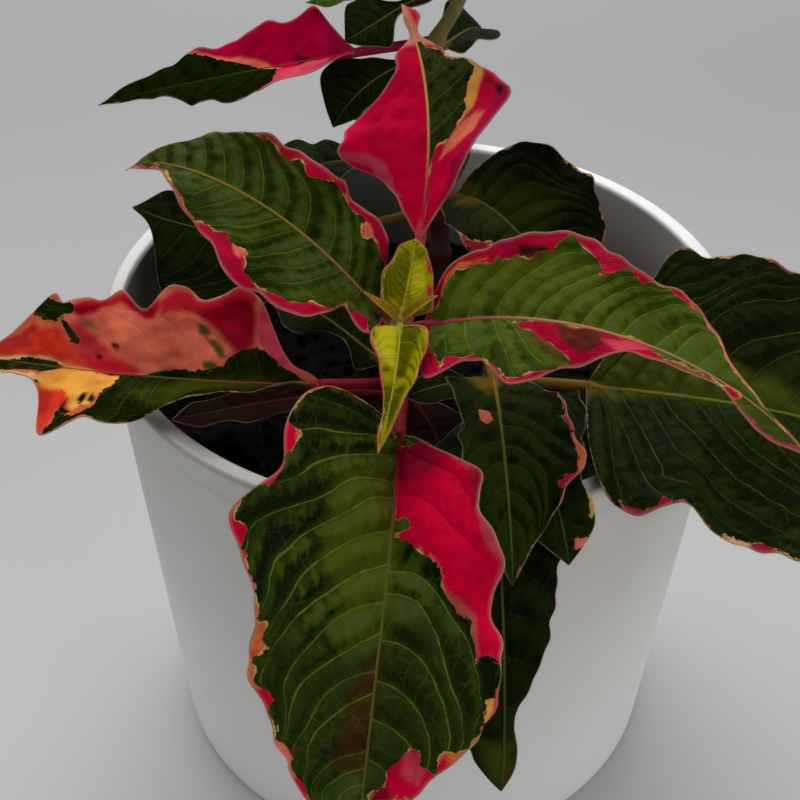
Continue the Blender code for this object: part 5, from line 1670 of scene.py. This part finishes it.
def bladeRelief(leaf, blade, number):
    # mm by which the surface swells between its veins, sinks along the midrib and rises on it
    along, across, width, phase = (blade[key] for key in ("along", "across", "width", "phase"))
    apart = np.abs((phase + 0.5) % 1 - 0.5) * 2
    inner = np.clip(blade["edgeMm"] / 4, 0, 1) * np.clip(across / 2.5, 0, 1)
    valley = (np.minimum(apart * 1.25, 1) ** 0.6 - 0.6) * blade["veinPart"]
    quilt = leaf.get("quilt", 1)
    relief = leafForm["quilt"] * quilt * inner * valley * np.clip(blade["phaseMm"] / 5, 0.3, 1.2)
    rungs = lumps(np.stack([0.9 * phase, (across + 0.6 * along) / 2.6], -1), 1.0, 350 + number)
    relief += leafForm["rungs"] * quilt * rungs * inner * np.minimum(apart * 2, 1)
    relief += leafForm["swell"] * lumps(blade["grid"], 3.2, 300 + number) * inner
    broad = np.minimum(width / 6, 1)
    groove = -leafForm["ribGroove"] * np.exp(-(across / 1.5) ** 2) * broad
    crest = leafForm["ribCrest"] * np.exp(-(across / np.maximum(blade["rib"], 0.2)) ** 2) * broad
    return relief + groove + crest


def bladeThickness(leaf, blade):
    # half thickness above and below, with the stalk running out under the blade
    share, across = blade["share"][:, None], blade["across"]
    thin = np.clip(blade["edgeMm"] / 2, 0, 1)
    thin = leafForm["edgeBlade"] + (leafForm["blade"] - leafForm["edgeBlade"]) * thin
    thin = thin * np.clip(blade["width"] / 1.5, 0.3, 1)
    ridge = leaf.get("stalk", leafForm["stalk"]) * (1 - share) ** 0.7
    bulge = np.sqrt(np.maximum(ridge ** 2 - (0.98 * np.minimum(across, ridge)) ** 2, 0)) * (across < ridge)
    topShare = np.clip(1 - share * leaf["length"] / 4, 0, 1)
    top = np.maximum(thin, bulge * topShare)
    low = np.maximum(thin, bulge * (0.85 * (1 - share) + 0.15 * topShare))
    return top[..., None], low[..., None]


def stalkRings(leaf, out):
    # middle and rise of the stalk's rings, under the same columns as the blade
    stops = np.arange(leaf.get("start", 0.0), leaf["petiole"] - 0.35, 0.8)
    place, side, up = (way[:, None] for way in leafLine(leaf, stops))
    radius = (leaf.get("stalk", leafForm["stalk"]) * (1 + 0.35 * np.exp(-stops / 3)))[:, None, None]
    out = out[None, :, None]
    return place + radius * out * side, radius * np.sqrt(1 - (0.98 * out) ** 2) * up


def bladeColours(name, leaf, blade):
    # mm inside the pink, the pink's own colour, and the wash over the green
    marks = leafMarks.get(name, {})
    spot = blade["along"], blade["across"] * np.sign(blade["out"])
    bands = (bandWidth(marks.get(key), blade["share"])[:, None] for key in ("bandLeft", "bandRight"))
    pinkMm = np.where(blade["out"] < 0, *bands) - blade["edgeMm"]
    pinkMm = np.maximum(pinkMm, markDistance(leaf, marks.get("pink", ()), *spot))
    if "green" in marks:
        pinkMm = np.minimum(pinkMm, -markDistance(leaf, marks["green"], *spot))
    pink = {**commonLook, **leafLooks[leaf["look"]]}["pink"]
    tint = np.tile(np.array((*pink, 1.0)), (*spot[0].shape, 1))
    for colour, soft, outline in marks.get("paint", ()):
        part = softMark(leaf, outline, soft, *spot)
        tint += part[..., None] * (np.array((*paints[colour], 1)) - tint)
    wash = np.zeros(tint.shape)
    for colour, soft, strength, outline in marks.get("wash", ()):
        part = strength * softMark(leaf, outline, soft, *spot)
        over = part + wash[..., 3] * (1 - part)
        mixShare = (part / np.maximum(over, 1e-6))[..., None]
        wash[..., :3] += mixShare * (np.array(paints[colour]) - wash[..., :3])
        wash[..., 3] = over
    return {"pinkMm": np.clip(pinkMm, -6, 6), "tint": tint, "wash": wash}


def ringLayers(values, rings):
    # the values of every ring of points: the stalk's rings first, the underside in reverse
    stalk = {"phase": 0.5, "phaseMm": 9, "veinPart": 0, "ribMm": 3, "edgeMm": 5, "pinkMm": -6, "stalk": 1}
    layers = {}
    for key, grown in values.items():
        plain = np.full((rings, *grown.shape[1:]), float(stalk.get(key, 0)))
        upper = np.concatenate([plain, grown])
        lower = upper[:, ::-1].copy()
        if key == "under":
            lower[rings:] = 1.0
        layer = np.concatenate([upper, lower], 1)
        layers[key] = layer.reshape(-1, *layer.shape[2:])
    return layers


def makeLeaf(name, leaf, number):
    blade = readBlade(name, leaf, number)
    grid = blade["grid"]
    grid = grid + bladeRelief(leaf, blade, number)[..., None] * gridNormals(grid)
    normals = gridNormals(grid)
    topThick, lowThick = bladeThickness(leaf, blade)
    middle, lift = stalkRings(leaf, blade["out"])
    top = np.concatenate([middle + lift, grid + topThick * normals])
    low = np.concatenate([middle - lift, grid - lowThick * normals])
    points = np.concatenate([top, low[:, ::-1]], 1)
    faces = ringFaces(*points.shape[:2])
    along, across = blade["along"], blade["across"]
    values = {
        "phase": blade["phase"], "phaseMm": blade["phaseMm"], "veinPart": blade["veinPart"],
        "ribMm": across - blade["rib"], "edgeMm": blade["edgeMm"], "alongMm": along,
        **bladeColours(name, leaf, blade),
        "stalk": np.clip(1 - along / 4, 0, 1) * (across < leaf.get("stalk", leafForm["stalk"])),
        "under": np.zeros(along.shape),
    }
    layers = ringLayers(values, len(middle))
    points = points.reshape(-1, 3)
    points, faces, layers = addHairs(points, faces, layers, grid, normals, number)
    piece = newPiece("plantLeaf_" + name, points, faces, leafMaterials[leaf["look"]], layers)
    if leaf.get("node", True):
        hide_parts("leaf_" + name)
    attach(piece, "root")


def addHairs(points, faces, layers, grid, normals, number):
    # short pale hairs along both margins, each a thin three-sided spike
    rng = np.random.default_rng(400 + number)
    form = leafForm
    spikes = []
    for column in (0, -1):
        margin = grid[:, column]
        outward = unit(margin - grid[:, 2 if column == 0 else -3])
        lengths = np.concatenate([[0], np.cumsum(np.linalg.norm(np.diff(margin, axis=0), axis=1))])
        spots = np.arange(1.0, lengths[-1], form["hairSpacing"])
        spots = spots + rng.uniform(-0.15, 0.15, len(spots))
        foot, way, face = [np.stack([np.interp(spots, lengths, v[:, k]) for k in range(3)], 1)
                           for v in (margin, outward, normals[:, column])]
        run = unit(np.stack([np.interp(spots, lengths, np.gradient(margin[:, k])) for k in range(3)], 1))
        tall = form["hairLength"] * rng.uniform(0.5, 1.0, (len(spots), 1))
        lean = unit(way + 0.45 * run * rng.uniform(0, 1, (len(spots), 1))
                    + 0.35 * face * rng.normal(size=(len(spots), 1)))
        foot = foot - 0.06 * way
        w = form["hairWidth"] / 2
        spikes.append(np.stack([foot + w * run, foot - w * run, foot + w * face, foot + tall * lean], 1))
    spikes = np.concatenate(spikes)
    start = len(points) + 4 * np.arange(len(spikes))[:, None]
    for corners in ((0, 1, 3), (1, 2, 3), (2, 0, 3), (0, 2, 1)):
        faces += (start + np.array(corners)).tolist()
    points = np.concatenate([points, spikes.reshape(-1, 3)])
    fixed = {"phase": 0.5, "phaseMm": 9, "ribMm": 9, "edgeMm": 0, "alongMm": 30, "pinkMm": -6}
    for key, layer in layers.items():
        added = np.full((4 * len(spikes), *layer.shape[1:]), float(fixed.get(key, 0)))
        layers[key] = np.concatenate([layer, added])
    return points, faces, layers


for leafNumber, (leafName, leafSize) in enumerate(leafSizes.items()):
    makeLeaf(leafName, leafSize, leafNumber)
print("leaves ready:", len(leafSizes))


# Floor, light and camera

def makeFloor():
    made, tree, shader, place = newMaterial("paleFloor")
    grain = useGroup(tree, fineGrain, {"Place": place, "Patch size": 3.0, "Grain size": 700.0})
    # painted light: the floor fades from pale near the camera to darker far away
    back = total(tree, axes(tree, place)[1], swings(tree, place, 3.0, 0.02))
    far = rise(tree, back, floorLook["nearY"], floorLook["farY"])
    colour = mixed(tree, far, floorLook["near"], floorLook["far"])
    gloss = rise(tree, grain["Patches"], 0.3, 0.7, 0.7, 0.8)
    connect(tree, shader, {"Base Color": colour, "Roughness": gloss}, grain["Height"], 0.05, 0.3)
    half = floorLook["size"] / 2
    steps = np.linspace(-half, half, floorLook["cells"] + 1)
    points = [(x, y, 0.0) for y in steps for x in steps]
    row = len(steps)
    faces = [[k, k + 1, k + row + 1, k + row] for r in range(row - 1)
             for k in range(r * row, (r + 1) * row - 1)]
    newPiece("studioFloor", points, faces, made)


def addLamp(name, place, size, power, target=(0, 0, 90)):
    data = bpy.data.lights.new(name, "AREA")
    data.shape = "SQUARE"
    data.size = size * mm
    data.energy = power
    lamp = bpy.data.objects.new(name, data)
    lamp.location = [v * mm for v in place]
    way = np.array(place, float) - np.array(target, float)
    flat = math.hypot(way[0], way[1])
    lamp.rotation_euler = (math.atan2(flat, way[2]), 0, math.atan2(way[0], -way[1]) if flat > 1e-6 else 0)
    scene.collection.objects.link(lamp)


def addSky():
    world = bpy.data.worlds.new("softSky")
    world.use_nodes = True
    sky = world.node_tree.nodes["Background"]
    sky.inputs["Color"].default_value = light["skyColour"]
    sky.inputs["Strength"].default_value = light["skyStrength"]
    scene.world = world


def addCamera():
    data = bpy.data.cameras.new("studioCamera")
    data.lens = view["lens"]
    data.sensor_width = view["sensor"]
    data.clip_end = 20
    made = bpy.data.objects.new("studioCamera", data)
    made.location = [v * mm for v in view["place"]]
    made.rotation_euler = cameraTurn()
    scene.collection.objects.link(made)
    scene.camera = made


makeFloor()
addLamp("keyBox", light["keyPlace"], light["keySize"], light["keyPower"])
addLamp("fillBox", light["fillPlace"], light["fillSize"], light["fillPower"])
addSky()
addCamera()
scene.view_settings.view_transform = "Standard"
print("stage ready")
